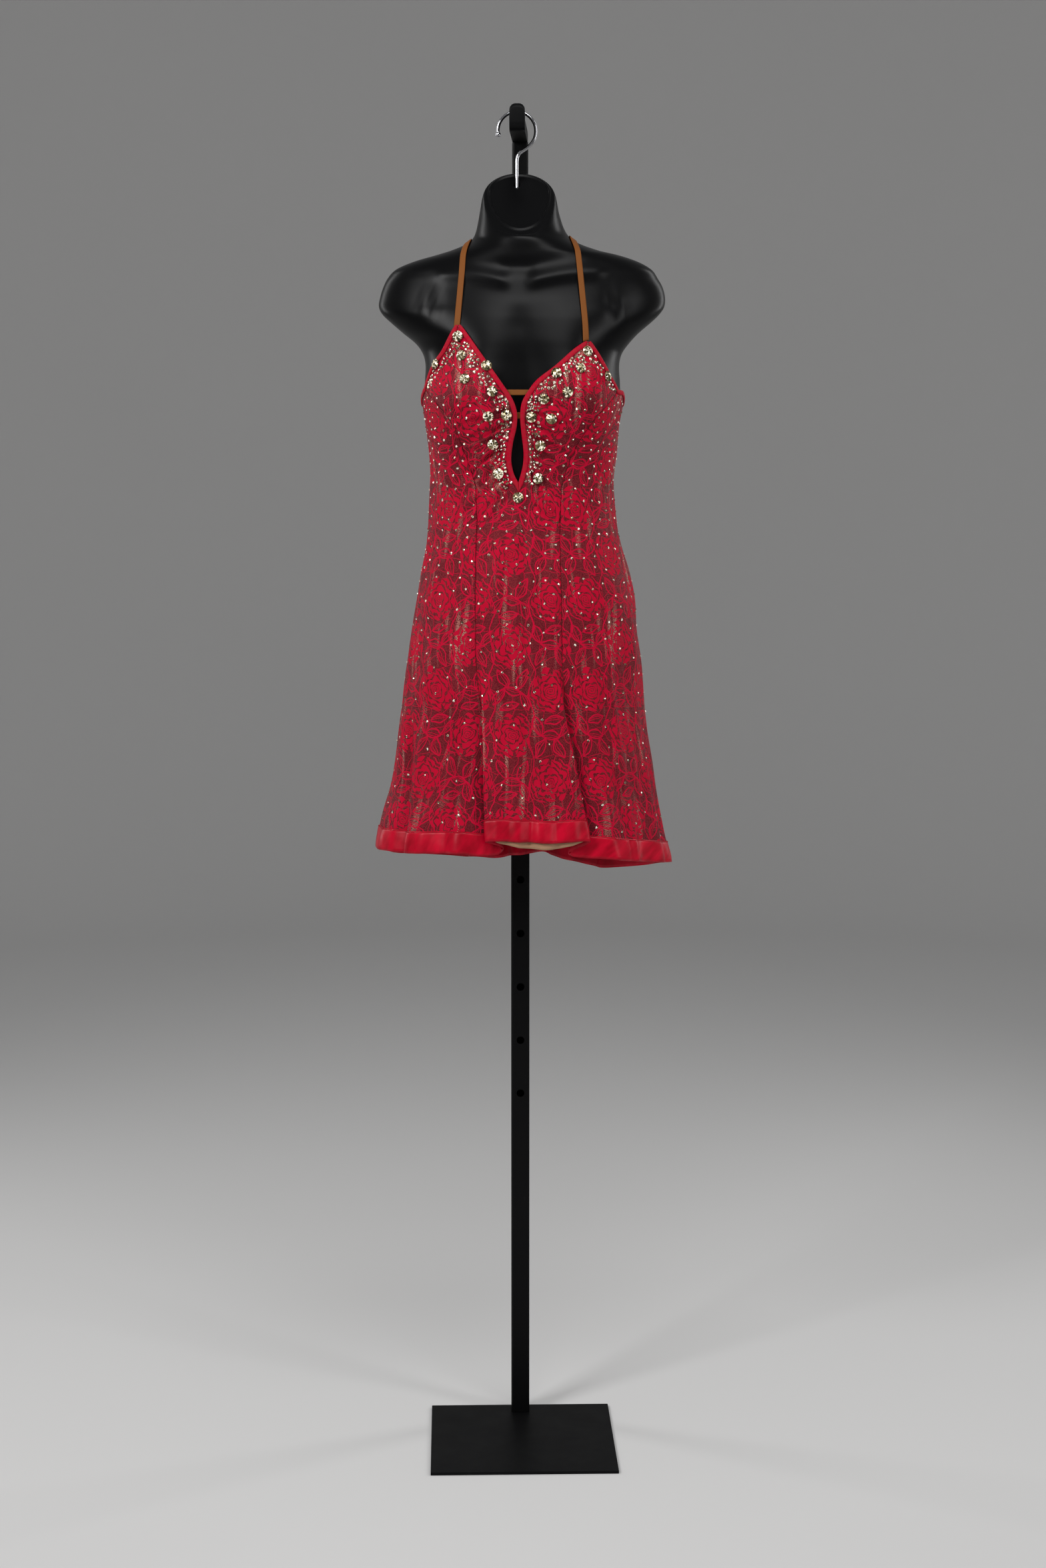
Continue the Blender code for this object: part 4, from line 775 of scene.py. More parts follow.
def lacePaint(tree):
    # lace over its lining: solid motifs and cords, and between them the net with the lining behind
    settings, place = laceSettings, clothPlace(tree)
    drawn = useGroup(tree, laceChart, {"Vector": place})
    threads, ribbing = netAt(place, *settings["net"]), netAt(place, *settings["ribbing"])
    motif = drawn["Solid"].larger(drawn["Cord"])
    cloudScale, fleckScale, flecks = settings["tones"]
    rich = blendColor(noiseAt(place, cloudScale, 3.0), "laceDeep", "laceRed")
    solid = blendColor(drawn["Solid"], "laceRed", rich)
    solid = blendColor(noiseAt(place, fleckScale) * flecks, solid, "laceDeep")
    # the lining shines through the net's holes, more in some holes than in others
    holeScale, holeLimit = settings["holes"]
    hole = 1.0 - motif.larger(threads["Thread"])
    shine = hole * (noiseAt(place, holeScale, 0.0) > holeLimit)
    # painted highlight: streaks of pale gold painted into the colour of the shining holes, standing in for
    # glints on fold crests
    run, glintScale, glintLimit, contrast = settings["paintedGlints"]
    streaks = noiseAt(stretched(place, (1.0, run, 1.0)), glintScale, 1.0)
    paintedGlint = shine * ((streaks - glintLimit) * contrast).clamped()
    ground = blendColor(threads["Thread"], "liningSeen", "netThread")
    ground = blendColor(paintedGlint, blendColor(shine, ground, "liningShine"), "liningGlint")
    return {
        "Base Color": blendColor(motif, ground, solid),
        "Metallic": shine * settings["shine"],
        "Roughness": blendValue(shine, *settings["rough"]),
        "Specular IOR Level": 0.12,
    }, (threads["Height"].scaled(0.4, ribbing["Height"] * 0.3), 0.00030, 0.7)


def satinPaint(tree):
    place = clothPlace(tree)
    cloud = noiseAt(stretched(place, (1.0, 0.45, 1.0)), 0.045, 3.0, 0.55)
    fine = noiseAt(stretched(place, (0.4, 9.0, 1.0)), 1.6)
    # painted shade: the colour darkens where the bumped ripples sink and is full red on their crests
    return {
        "Base Color": blendColor(cloud.scaled(3.2, -1.1).clamped(), "satinDeep", "satinRed"),
        "Roughness": cloud.scaled(0.14, 0.29),
        "Specular IOR Level": 0.16,
    }, (cloud.scaled(3.0, fine * 0.05), 0.00030, 0.55)


def liningPaint(tree):
    place = clothPlace(tree)
    knit = netAt(place, 0.7, 0.45)["Height"]
    tone = (noiseAt(place, 0.12, 3.0) + knit) * 0.5
    return {
        "Base Color": blendColor(tone, "tanDeep", "tan"),
        "Roughness": 0.72,
        "Sheen Weight": 0.2,
        "Sheen Roughness": 0.5,
        "Sheen Tint": (1, 0.85, 0.7, 1),
    }, (knit, 0.00015, 0.6)


def elasticPaint(tree):
    # ribs every 0.9 mm across and rows of stitches every 0.6 mm along
    pairs = zip(flat(clothPlace(tree)), (0.9, 0.6))
    rib, row = (abs((place * (math.pi / pitch)).then("SINE")) for place, pitch in pairs)
    weave = rib.scaled(0.7, row * 0.3)
    return {
        "Base Color": blendColor(weave, dimmed("elastic", 0.72), "elastic"),
        "Roughness": 0.62,
        "Specular IOR Level": 0.2,
    }, (weave, 0.0002, 0.8)


def threadPaint(tree):
    tone = noiseAt(objectPlace(tree), 700.0)
    color = blendColor(tone, "threadRed", dimmed("threadRed", 2.1))
    return {"Base Color": color, "Roughness": 0.6}, (tone, 0.0001, 0.5)


def bindingPaint(tree):
    # lace folded over an edge: its net shows as pale ticks on the red
    place = clothPlace(tree)
    threads = netAt(place, 1.35, 0.62)
    shown = threads["Thread"].larger(noiseAt(place, 0.30) > 0.54)
    return {
        "Base Color": blendColor(shown, "edgeHole", "laceDeep"),
        "Roughness": blendValue(shown, 0.35, 0.85),
        "Specular IOR Level": 0.1,
    }, (threads["Height"], 0.00025, 0.8)


def blackPaint(colors, grain, rub, worn, rough, specular, bump):
    def paint(tree):
        place = objectPlace(tree)
        spread = grainAt(place, *grain)
        inputs = {"Vector": place, "Scale": rub[0], "Cover": rub[1]}
        rubbed = useGroup(tree, rubbedWear, inputs)["Rub"]
        return {
            "Base Color": blendColor(rubbed * worn, *colors),
            "Roughness": spread["Cloud"].scaled(*rough),
            "Specular IOR Level": specular,
        }, (spread["Grain"], *bump)
    return paint


def chromePaint(tree):
    spread = grainAt(objectPlace(tree), 900.0, 90.0)
    return {
        "Base Color": blendColor(spread["Cloud"], "chromeDark", "chromeBright"),
        "Roughness": spread["Cloud"].scaled(0.12, 0.07),
        "Metallic": 1.0,
    }, (spread["Grain"], 0.00004, 0.3)


def stonePaint(dark, middle, bright):
    # each facet has its own painted reflection, light or dark, and the brightest also glow with painted
    # light from behind the glass
    def paint(tree):
        tone = addNode(tree, "ShaderNodeAttribute", {}, "Fac", attribute_name="facetReflection")
        low = blendColor((tone * 2.0).clamped(), dark, middle)
        high = tone.scaled(2.0, -1.0).clamped()
        return {
            "Base Color": blendColor(high, low, bright),
            # painted glow: the brightest facets emit light though no lamp is there, a painted reflection
            "Emission Color": blendColor(high * high, "unlit", bright),
            "Roughness": tone.scaled(0.08, 0.10),
            "Emission Strength": 0.50,
            "Metallic": 0.5,
            "Specular IOR Level": 0.6,
        }, None
    return paint


def floorPaint(tree):
    cloud = noiseAt(objectPlace(tree), 1.3)
    return {"Base Color": blendColor(cloud, dimmed("floor", 0.985), "floor"), "Roughness": 0.85}, None


motifInputs = ["Vector", "Centre", "Turn", "Half"]
netThreads = newGroup("net threads", ["Vector"], ["Pitch", "Width"], ["Thread", "Height"], drawNet)
laceRose = newGroup("lace rose", motifInputs, ["Phase"], ["Solid", "Cord"], drawRose)
laceLeaf = newGroup("lace leaf", motifInputs, ["Width"], ["Cord"], drawLeaf)
laceChart = newGroup("lace chart", ["Vector"], [], ["Solid", "Cord"], drawChart)
surfaceGrain = newGroup("surface grain", ["Vector"], ["Scale", "Cloud"], ["Grain", "Cloud"], drawGrain)
rubbedWear = newGroup("rubbed wear", ["Vector"], ["Scale", "Cover"], ["Rub"], drawRub)
materials = {
    "lace": newMaterial("crimson lace over lining", lacePaint),
    "satin": newMaterial("red satin ribbon", satinPaint),
    "lining": newMaterial("tan lining", liningPaint),
    "elastic": newMaterial("tan elastic", elasticPaint),
    "thread": newMaterial("red sewing thread", threadPaint),
    "binding": newMaterial("folded lace edge", bindingPaint),
    "form": newMaterial("black moulded form", blackPaint(
        ("formBlack", "formWorn"), grain=(700.0, 16.0), rub=(34.0, 0.34), worn=0.25,
        rough=(0.12, 0.25), specular=0.11, bump=(0.00008, 0.5),
    )),
    "stand": newMaterial("black powder coat", blackPaint(
        ("standBlack", "standWorn"), grain=(1400.0, 24.0), rub=(110.0, 0.33), worn=0.5,
        rough=(0.18, 0.36), specular=0.09, bump=(0.00012, 0.6),
    )),
    "chrome": newMaterial("plated wire", chromePaint),
    "largeStone": newMaterial(
        "cut champagne stone", stonePaint((0.016, 0.013, 0.006), (0.30, 0.23, 0.10), (1.0, 0.93, 0.74))
    ),
    "smallStone": newMaterial(
        "small champagne stone", stonePaint((0.035, 0.026, 0.014), (0.36, 0.28, 0.16), (1.0, 0.94, 0.82))
    ),
}
print("finishes made")


def newObject(name, data, surfaces, smooth=True):
    item = bpy.data.objects.new(name, data)
    scene.collection.objects.link(item)
    for surface in surfaces:
        data.materials.append(materials[surface])
    if smooth:
        data.shade_smooth()
    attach(item, "hung_dress")
    return item


def meshFrom(name, builder):
    mesh = bpy.data.meshes.new(name)
    builder.to_mesh(mesh)
    builder.free()
    return mesh


def layGrid(builder, uvLayer, points, uv, facedRows=0):
    # a grid of points with each row running right and the rows going up, seen from outside
    rows, columns = points.shape[:2]
    made = bmesh.ops.create_grid(builder, x_segments=columns - 1, y_segments=rows - 1, size=0.5)
    places, levels = {}, {}
    for vert in made["verts"]:
        column = round((vert.co.x + 0.5) * (columns - 1))
        row = round((vert.co.y + 0.5) * (rows - 1))
        vert.co = points[row, column]
        places[vert], levels[vert] = uv[row, column], row
    for face in {face for vert in made["verts"] for face in vert.link_faces}:
        if max(levels[vert] for vert in face.verts) <= facedRows:
            face.material_index = 2
        for loop in face.loops:
            loop[uvLayer].uv = places[loop.vert]


def sheetFrom(name, node, grids, surfaces, wall, side=-1.0, facedRows=0):
    # a thin shell; cloth with faced rows also has its own lining inside
    builder = bmesh.new()
    uvLayer = builder.loops.layers.uv.new("cloth")
    for points, uv in grids:
        layGrid(builder, uvLayer, points, uv, facedRows)
    if len(grids) > 1:
        bmesh.ops.remove_doubles(builder, verts=builder.verts, dist=0.00003)
    piece = newObject(name, meshFrom(name, builder), surfaces)
    shell = piece.modifiers.new("wall", "SOLIDIFY")
    shell.thickness = wall
    shell.offset = side
    shell.use_rim = True
    if facedRows:
        shell.material_offset = 1
    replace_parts(piece, node)
    return piece


def acrossUv(points, heights, column, startAt=0.0):
    # cloth measured along each row from one of its columns, and the height as it hangs
    steps = np.linalg.norm(np.diff(points, axis=1), axis=2)
    run = np.concatenate((np.zeros((len(points), 1)), np.cumsum(steps, axis=1)), axis=1)
    run = run - run[:, column][:, None] + np.reshape(startAt, (-1, 1))
    return np.stack((run, heights), axis=-1)


def runAlong(points):
    return np.concatenate(([0], np.cumsum(np.linalg.norm(np.diff(points, axis=0), axis=1))))


def readAlong(points, lengths, at):
    return np.stack([np.interp(at, lengths, points[:, axis]) for axis in range(3)], axis=1)


def inwardFrom(edge, bearings, heights, inwardRight):
    # square to the edge, along the cloth
    tangent = np.gradient(edge, axis=0)
    tangent /= np.linalg.norm(tangent, axis=1, keepdims=True)
    inward = np.cross(tangent, clothNormal(bearings, heights))
    inward *= 1.0 if inwardRight else -1.0
    return inward


def tubeAlong(name, points, radius, surface, radii=None, resolution=0):
    curve = bpy.data.curves.new(name, "CURVE")
    curve.dimensions = "3D"
    curve.bevel_depth = radius
    curve.bevel_resolution = resolution
    curve.use_fill_caps = True
    spline = curve.splines.new("POLY")
    spline.points.add(len(points) - 1)
    for point, place, size in zip(spline.points, points, radii or [1.0] * len(points)):
        point.co = (*place, 1)
        point.radius = size
    temporary = bpy.data.objects.new(name + "_curve", curve)
    scene.collection.objects.link(temporary)
    graph = bpy.context.evaluated_depsgraph_get()
    mesh = bpy.data.meshes.new_from_object(temporary.evaluated_get(graph))
    bpy.data.objects.remove(temporary)
    return newObject(name, mesh, [surface])


panelSettings = {
    "frontColumns": 84,  # in each half of the centre front
    "sideColumns": 64,
    "backColumns": 150,
    "bandRows": 7,
    "skirtRows": 50,
    "waistRows": 34,
    "gatherRows": 62,
    "cupRows": 46,
    "sideRows": 64,
    "backRows": 46,
    # where the lace starts on each of the other panels
    "laceShift": {"left": 0.031, "right": 0.087, "back": 0.012},
}
skirtTop = dressSizes["skirtTop"]
keyholeFoot = dressSizes["keyholeFoot"]
skirtShares = np.concatenate((
    np.linspace(0, dressSizes["bandShare"], panelSettings["bandRows"] + 1),
    np.linspace(dressSizes["bandShare"], 1.0, panelSettings["skirtRows"] + 1)[1:],
))


def beside(name, way):
    # half a seam's gap to the left (-1) or right (+1) of a seam, square to it
    def place(height):
        bearing = lineAt(name, height)
        radius = dressRadius(bearing, height)
        across = (lineAt(name, height + 0.001) - lineAt(name, height - 0.001)) * radius / 0.002
        return bearing + way * dressSizes["seam"] / 2 * np.hypot(1, across) / radius
    return place


def straightLine(bearing, way):
    def place(height):
        radius = dressRadius(np.full_like(height, bearing), height)
        return bearing + way * dressSizes["seam"] / 2 / radius
    return place


def centreLine(height):
    return bearingOf(np.full_like(height, dressSizes["centreX"]), height)


def crowded(start, end, levels, count, evenness):
    # bearings from start to end in each row, closer together where the cloth is folded
    samples = np.linspace(0, 1, 500)
    even = np.linspace(0, 1, count + 1)
    rows = []
    for first, last, level, levelness in zip(start, end, levels, evenness):
        bearing = first + (last - first) * samples
        radius = dressRadius((first + last) / 2, level)
        weight = np.ones_like(bearing)
        for centre, depth, halfWidth, _, swell in foldPlaces(level):
            off = turnBetween(bearing, centre) * radius / halfWidth
            weight += 0.9 * depth / halfWidth / (1 + (off / 1.9) ** 6)
            weight += 500 * swell / (1 + (off / 0.6) ** 4)
        total = np.concatenate(([0], np.cumsum((weight[1:] + weight[:-1]) / 2)))
        at = np.interp(even, total / total[-1], samples)
        rows.append(first + (last - first) * mixed(at, even, levelness))
    return np.array(rows)


def skirtRows(leftLine, rightLine, count):
    levels = mixed(dressSizes["hemLevel"], skirtTop, skirtShares)
    bearings = crowded(leftLine(levels), rightLine(levels), levels, count, np.zeros_like(levels))
    hem = hemHeight(bearings)
    share = skirtShares[:, None]
    inBand = hem + dressSizes["bandHeight"] * share / dressSizes["bandShare"]
    lag = dressSizes["bandHeight"] - dressSizes["bandShare"] * (skirtTop - hem)
    settle = 1 - np.clip((share - dressSizes["bandShare"]) / 0.14, 0, 1)
    above = mixed(hem, skirtTop, share) + lag * settle
    return bearings, np.where(share <= dressSizes["bandShare"], inBand, above)


def halfFront(side):
    # half of the centre front, from the hem to the tip of its cup
    count = panelSettings["frontColumns"]
    seamLine, arm, neck = bothSides[side > 0][2:]
    seam = beside(seamLine, -side)
    pair = (seam, centreLine)[::-side]
    bearings, heights = skirtRows(*pair, count)
    seamTop, tip = lines[arm][0, 0], lines[arm][-1, 0]
    levels = np.concatenate((
        np.linspace(skirtTop, keyholeFoot, panelSettings["waistRows"] + 1)[1:],
        np.linspace(keyholeFoot, seamTop, panelSettings["gatherRows"] + 1)[1:],
        np.linspace(seamTop, tip, panelSettings["cupRows"] + 1)[1:],
    ))
    inner = np.where(levels <= keyholeFoot, centreLine(levels), lineAt(neck, levels))
    outer = np.where(levels <= seamTop, seam(levels), lineAt(arm, levels))
    start, end = (outer, inner)[::-side]
    evenness = smoothStep((levels - skirtTop) / 0.09)
    upper = crowded(start, end, levels, count, evenness)
    bearings = np.vstack((bearings, upper))
    heights = np.vstack((heights, np.repeat(levels[:, None], count + 1, axis=1)))
    return bearings, heights


def roundPanel(leftLine, rightLine, count, rowsAbove):
    # a panel whose top is the bodice's edge
    bearings, heights = skirtRows(leftLine, rightLine, count)
    last = bearings[-1]
    first, across = last[0], last[-1] - last[0]
    place = (last - first) / across
    even = np.linspace(0, 1, count + 1)
    moreBearings, moreHeights = [], []
    for share in np.linspace(0, 1, rowsAbove + 1)[1:]:
        at = mixed(place, even, smoothStep(share * 2))
        row = last
        for _ in range(4):
            height = mixed(skirtTop, topHeight(row), share)
            row = mixed(leftLine(height), rightLine(height), at)
        moreBearings.append(row)
        moreHeights.append(height)
    return np.vstack((bearings, moreBearings)), np.vstack((heights, moreHeights))


halfPi = math.pi / 2
panels = {
    "leftHalf": halfFront(-1),
    "rightHalf": halfFront(1),
    "left": roundPanel(
        straightLine(-halfPi, 1), beside("seamLeft", -1),
        panelSettings["sideColumns"], panelSettings["sideRows"],
    ),
    "right": roundPanel(
        beside("seamRight", 1), straightLine(halfPi, -1),
        panelSettings["sideColumns"], panelSettings["sideRows"],
    ),
    "back": roundPanel(
        straightLine(halfPi, 1), straightLine(3 * halfPi, -1),
        panelSettings["backColumns"], panelSettings["backRows"],
    ),
}
print("rows of points laid out")


def buildPanels():
    # the bottom rows are faced with satin
    surfaces, wall = ["lace", "lining", "satin", "satin"], dressSizes["wall"]
    rows, halves = panelSettings["bandRows"], []
    for (side, name, *_), neck in zip(bothSides, (neckEdgeLeft, neckEdgeRight)):
        bearings, heights = panels[name + "Half"]
        points = clothPoint(bearings, heights)
        # the lace of both halves is measured from the centre line
        column = min(side, 0)
        level = heights[:, column]
        reach = np.abs(readTable(neck, level)[0] - dressSizes["centreX"])
        reach = side * np.where(level > keyholeFoot, reach, 0.0)
        halves.append((points, acrossUv(points, heights, column, reach)))
    sheetFrom("front_center_cloth", "front_center", halves, surfaces, wall, facedRows=rows)
    for key, node in (("left", "side_front_left"), ("right", "side_front_right"), ("back", "back")):
        points = clothPoint(*panels[key])
        shift = panelSettings["laceShift"][key]
        uv = acrossUv(points, panels[key][1], points.shape[1] // 2, shift)
        sheetFrom(f"{node}_cloth", node, [(points, uv)], surfaces, wall, facedRows=rows)


bandSettings = {
    "lift": 0.0013,
    "wall": 0.0009,
    "belly": 0.0005,
    "rippleHeight": 0.0006,
    "stitchDrop": 0.0012,
    "stitchLift": 0.0016,
    "stitchStep": 0.0014,
    "stitchReach": 0.0007,
    "threadRadius": 0.00022,
}


def bandGrid(bearings, heights):
    # satin over the panels' own bottom rows, a little full between its edges
    rows = len(bearings)
    share = np.linspace(0, 1, rows)[:, None]
    run = np.linalg.norm(np.diff(clothPoint(bearings, heights), axis=1), axis=2)
    run = np.concatenate((np.zeros((rows, 1)), np.cumsum(run, axis=1)), axis=1)
    wave = np.sin(run * 95) * np.sin(run * 41 + 1.0) + 0.5 * np.sin(run * 160 + 9 * share)
    lift = bandSettings["lift"] + bandSettings["belly"] * 4 * share * (1 - share)
    lift = lift + bandSettings["rippleHeight"] * wave * np.sin(math.pi * share) * 0.6
    points = clothLifted(bearings, heights, lift)
    return points, np.stack((run, heights - heights[0] + 0 * run), axis=-1)


def resampled(points, step):
    lengths = runAlong(points)
    count = max(int(lengths[-1] / step), 2)
    return readAlong(points, lengths, np.linspace(0, lengths[-1], count + 1))


def zigzag(bearings, heights, lift):
    # a machine's zigzag stitch along a row of places
    line = resampled(np.column_stack((bearings * 0.13, heights, heights * 0)), bandSettings["stitchStep"])
    bearing, height = line[:, 0] / 0.13, line[:, 1]
    side = np.where(np.arange(len(line)) % 2 == 0, 1.0, -1.0)
    return clothLifted(bearing, height + side * bandSettings["stitchReach"], np.full(len(line), lift))


def buildBands():
    rows = panelSettings["bandRows"] + 1
    front = [
        np.hstack((
            panels["left"][part][:rows], panels["leftHalf"][part][:rows],
            panels["rightHalf"][part][:rows, 1:], panels["right"][part][:rows],
        ))
        for part in (0, 1)
    ]
    back = [panels["back"][part][:rows] for part in (0, 1)]
    for node, (bearings, heights) in (("hem_band_front", front), ("hem_band_back", back)):
        grid = bandGrid(bearings, heights)
        sheetFrom(f"{node}_satin", node, [grid], ["satin"], bandSettings["wall"])
        stitchAt = heights[-1] - bandSettings["stitchDrop"]
        stitches = zigzag(bearings[-1], stitchAt, bandSettings["stitchLift"])
        tubeAlong(f"{node}_stitching", stitches, bandSettings["threadRadius"], "thread")


liningSettings = {
    "left": math.radians(-15),
    "right": math.radians(29),
    "drop": 0.0085,
    "rise": 0.0120,
    "wall": 0.0008,
    "inside": 0.0016,
    "ripple": (0.0004, 40),
}


def buildLiningHem():
    # the lining's edge, which hangs below the satin at the middle lobe
    bearings = np.hstack((panels["leftHalf"][0][0], panels["rightHalf"][0][0, 1:]))
    heights = np.hstack((panels["leftHalf"][1][0], panels["rightHalf"][1][0, 1:]))
    kept = (bearings > liningSettings["left"]) & (bearings < liningSettings["right"])
    bearings, heights = bearings[kept], heights[kept]
    part = (bearings - bearings[0]) / (bearings[-1] - bearings[0])
    drop = liningSettings["drop"] * np.sin(math.pi * np.clip(part, 0, 1)) ** 0.7
    foot, top = heights - drop, heights + liningSettings["rise"]
    share = np.linspace(0, 1, 6)[:, None]
    levels = mixed(foot, top, share)
    bearings = np.repeat(bearings[None, :], 6, axis=0)
    size, turns = liningSettings["ripple"]
    lift = -dressSizes["wall"] - liningSettings["inside"] + size * np.sin(turns * bearings) * (1 - share)
    points = clothLifted(bearings, levels, lift)
    uv = acrossUv(points, levels, points.shape[1] // 2)
    sheetFrom(
        "lining_hem_cloth", "lining_hem", [(points, uv)], ["lining"], liningSettings["wall"]
    )


bindingSettings = {
    "wall": 0.0004,
    "tail": 0.0100,
    "tipShare": 0.42,
    # across the binding: reach from the edge as a share of its width, and lift
    "profile": (
        (-0.10, -0.0004), (-0.17, 0.0004), (-0.12, 0.0011), (0.02, 0.0016), (0.25, 0.0019),
        (0.60, 0.0019), (0.88, 0.0016), (0.99, 0.0010), (1.02, 0.0003),
    ),
}


def bindingAlong(node, bearings, heights, inwardRight, tips=None, tailed=False):
    if tailed:
        # below the keyhole the two bindings run together to a point
        tail = keyholeFoot - np.linspace(bindingSettings["tail"], 0.0004, 9)
        bearings = np.concatenate((centreLine(tail), bearings))
        heights = np.concatenate((tail, heights))
    edge = clothPoint(bearings, heights)
    keep = np.concatenate(([True], np.linalg.norm(np.diff(edge, axis=0), axis=1) > 0.0002))
    edge, bearings, heights = edge[keep], bearings[keep], heights[keep]
    inward = inwardFrom(edge, bearings, heights, inwardRight)
    width = np.full(len(edge), dressSizes["bindingWidth"])
    if tips is not None:
        neck, arm = tips
        first = clothPoint(lineAt(neck, heights), heights)
        last = clothPoint(lineAt(arm, heights), heights)
        gapWidth = bindingSettings["tipShare"] * np.linalg.norm(first - last, axis=1)
        width = np.where(heights > lines[arm][0, 0], np.minimum(width, gapWidth), width)
    closed = (heights < keyholeFoot) & tailed
    narrowing = np.clip(1.03 - (keyholeFoot - heights) / bindingSettings["tail"], 0.03, 1)
    width = np.where(closed, width * narrowing, width)
    rows = []
    for reach, lift in bindingSettings["profile"]:
        reach = np.where(closed, max(reach, 0.03), reach)
        place = edge + inward * (reach * width)[:, None]
        turned = np.arctan2(place[:, 0], -place[:, 1])
        bearing = bearings + turnBetween(turned, bearings)
        rows.append(clothLifted(bearing, place[:, 2], np.full(len(edge), lift)))
    points = np.swapaxes(np.stack(rows, axis=0), 0, 1)[:, ::1 if inwardRight else -1]
    run = runAlong(edge)
    across = np.linspace(0, dressSizes["bindingWidth"], points.shape[1])
    uv = np.stack(np.broadcast_arrays(across[None, :], run[:, None]), axis=-1)
    sheetFrom(f"{node}_lace", node, [(points, uv)], ["binding"], bindingSettings["wall"])


def buildBindings():
    for side, name, _, arm, neck in bothSides:
        bearings, heights = panels[f"{name}Half"]
        inner, outer = (-1, 0)[::-side]
        above = heights[:, inner] > keyholeFoot
        bindingAlong(
            f"binding_neck_{name}", bearings[above, inner], heights[above, inner],
            side > 0, (neck, arm), True,
        )
        sideTop = [panels[name][part][-1][::-side] for part in (0, 1)]
        above = heights[:, outer] > lines[arm][0, 0]
        bindingAlong(
            f"binding_arm_{name}", np.concatenate((sideTop[0], bearings[above, outer])),
            np.concatenate((sideTop[1], heights[above, outer])), side < 0, (neck, arm),
        )
    bindingAlong("binding_back", panels["back"][0][-1], panels["back"][1][-1], True)


tabSettings = {
    "bust_strap": (-0.0330, 0.0230, 1.4395, 1.4465),
    "keyhole_tab": (-0.0170, 0.0020, 1.4090, 1.4170),
    "lift": -0.0021,
    "wall": 0.0010,
    "tight": 0.35,
}


def buildTabs():
    for node in ("bust_strap", "keyhole_tab"):
        left, right, foot, top = tabSettings[node]
        share = np.linspace(0, 1, 25)[None, :]
        x, height = np.broadcast_arrays(
            np.linspace(left, right, 25)[None, :], np.linspace(foot, top, 7)[:, None]
        )
        lift = np.full(x.shape, tabSettings["lift"])
        points = clothLifted(bearingOf(x, height), height, lift)
        # the elastic spans the hollow between the cups in a straight line
        straight, tight = mixed(points[:, :1], points[:, -1:], share[..., None]), tabSettings["tight"]
        points = straight * tight + points * (1 - tight)
        grid = (points, np.stack((x, height), axis=-1))
        sheetFrom(f"{node}_elastic", node, [grid], ["elastic"], tabSettings["wall"])


formSettings = {
    "columns": 168,
    "rings": 190,
    "neckRings": 9,
    "pivotY": -0.0120,
    "neckX": -0.0040,
    "neckBlend": 0.012,
    "neckEase": (14, 13, 70),  # rows below and above the neck's foot, and rounds of smoothing
    "mouthRadius": 0.0044,
    "mouthDepth": 0.0060,
    # height, slope, half width, depths to the front and back
    "neck": (
        (1.6570, 0.20, 0.0560, 0.0575, 0.0355), (1.6720, 0.55, 0.0525, 0.0555, 0.0345),
        (1.6840, 0.88, 0.0497, 0.0540, 0.0320), (1.6905, 1.04, 0.0468, 0.0520, 0.0300),
        (1.6924, 1.10, 0.0424, 0.0484, 0.0262), (1.6944, 1.10, 0.0404, 0.0464, 0.0243),
        (1.6944, 1.10, 0.0395, 0.0455, 0.0234), (1.6928, 1.10, 0.0385, 0.0445, 0.0225),
        (1.6924, 1.10, 0.0373, 0.0433, 0.0213),
    ),
    # collar bones: inner and outer ends, as distance to the right and height
    "collarBones": (((-0.017, 1.586), (-0.112, 1.596)), ((0.002, 1.586), (0.106, 1.600))),
    "boneHeight": 0.0032,
    "boneWidth": 0.0092,
    "notchDepth": 0.0030,
    "hollowDepth": 0.0020,
    "armCrease": 0.0022,
    "torsoTop": (1.6450, 0.0, 0.0620, 0.0600, 0.0360),
}
hookSettings = {
    "x": -0.0069,
    "y": 0.0120,
    "loopZ": 1.7880,
    "loop": 0.0250,
    "wire": 0.0022,
    "foot": 1.7000,
    "neckZ": 1.7470,
    "shank": 0.0200,
    "lean": math.radians(-38),
    "end": math.radians(184),
    "ease": 0.0170,
    # along the tip, and the radius against the wire's
    "ball": (
        (0.0, 1.0), (0.0004, 1.22), (0.0010, 1.42), (0.0019, 1.57), (0.0030, 1.61), (0.0041, 1.54),
        (0.0050, 1.32), (0.0056, 0.92), (0.0059, 0.30),
    ),
}


def neckRow(level, bearings):
    height, slope, half, front, back = level
    share = min((height - formSettings["torsoTop"][0]) / formSettings["neckBlend"], 1.0)
    depth = np.where(np.cos(bearings) > 0, front, back)
    x = formSettings["neckX"] * share + half * np.sin(bearings)
    y = -depth * np.cos(bearings)
    return np.stack((x, y, height + slope * (y - formSettings["pivotY"])), axis=-1)


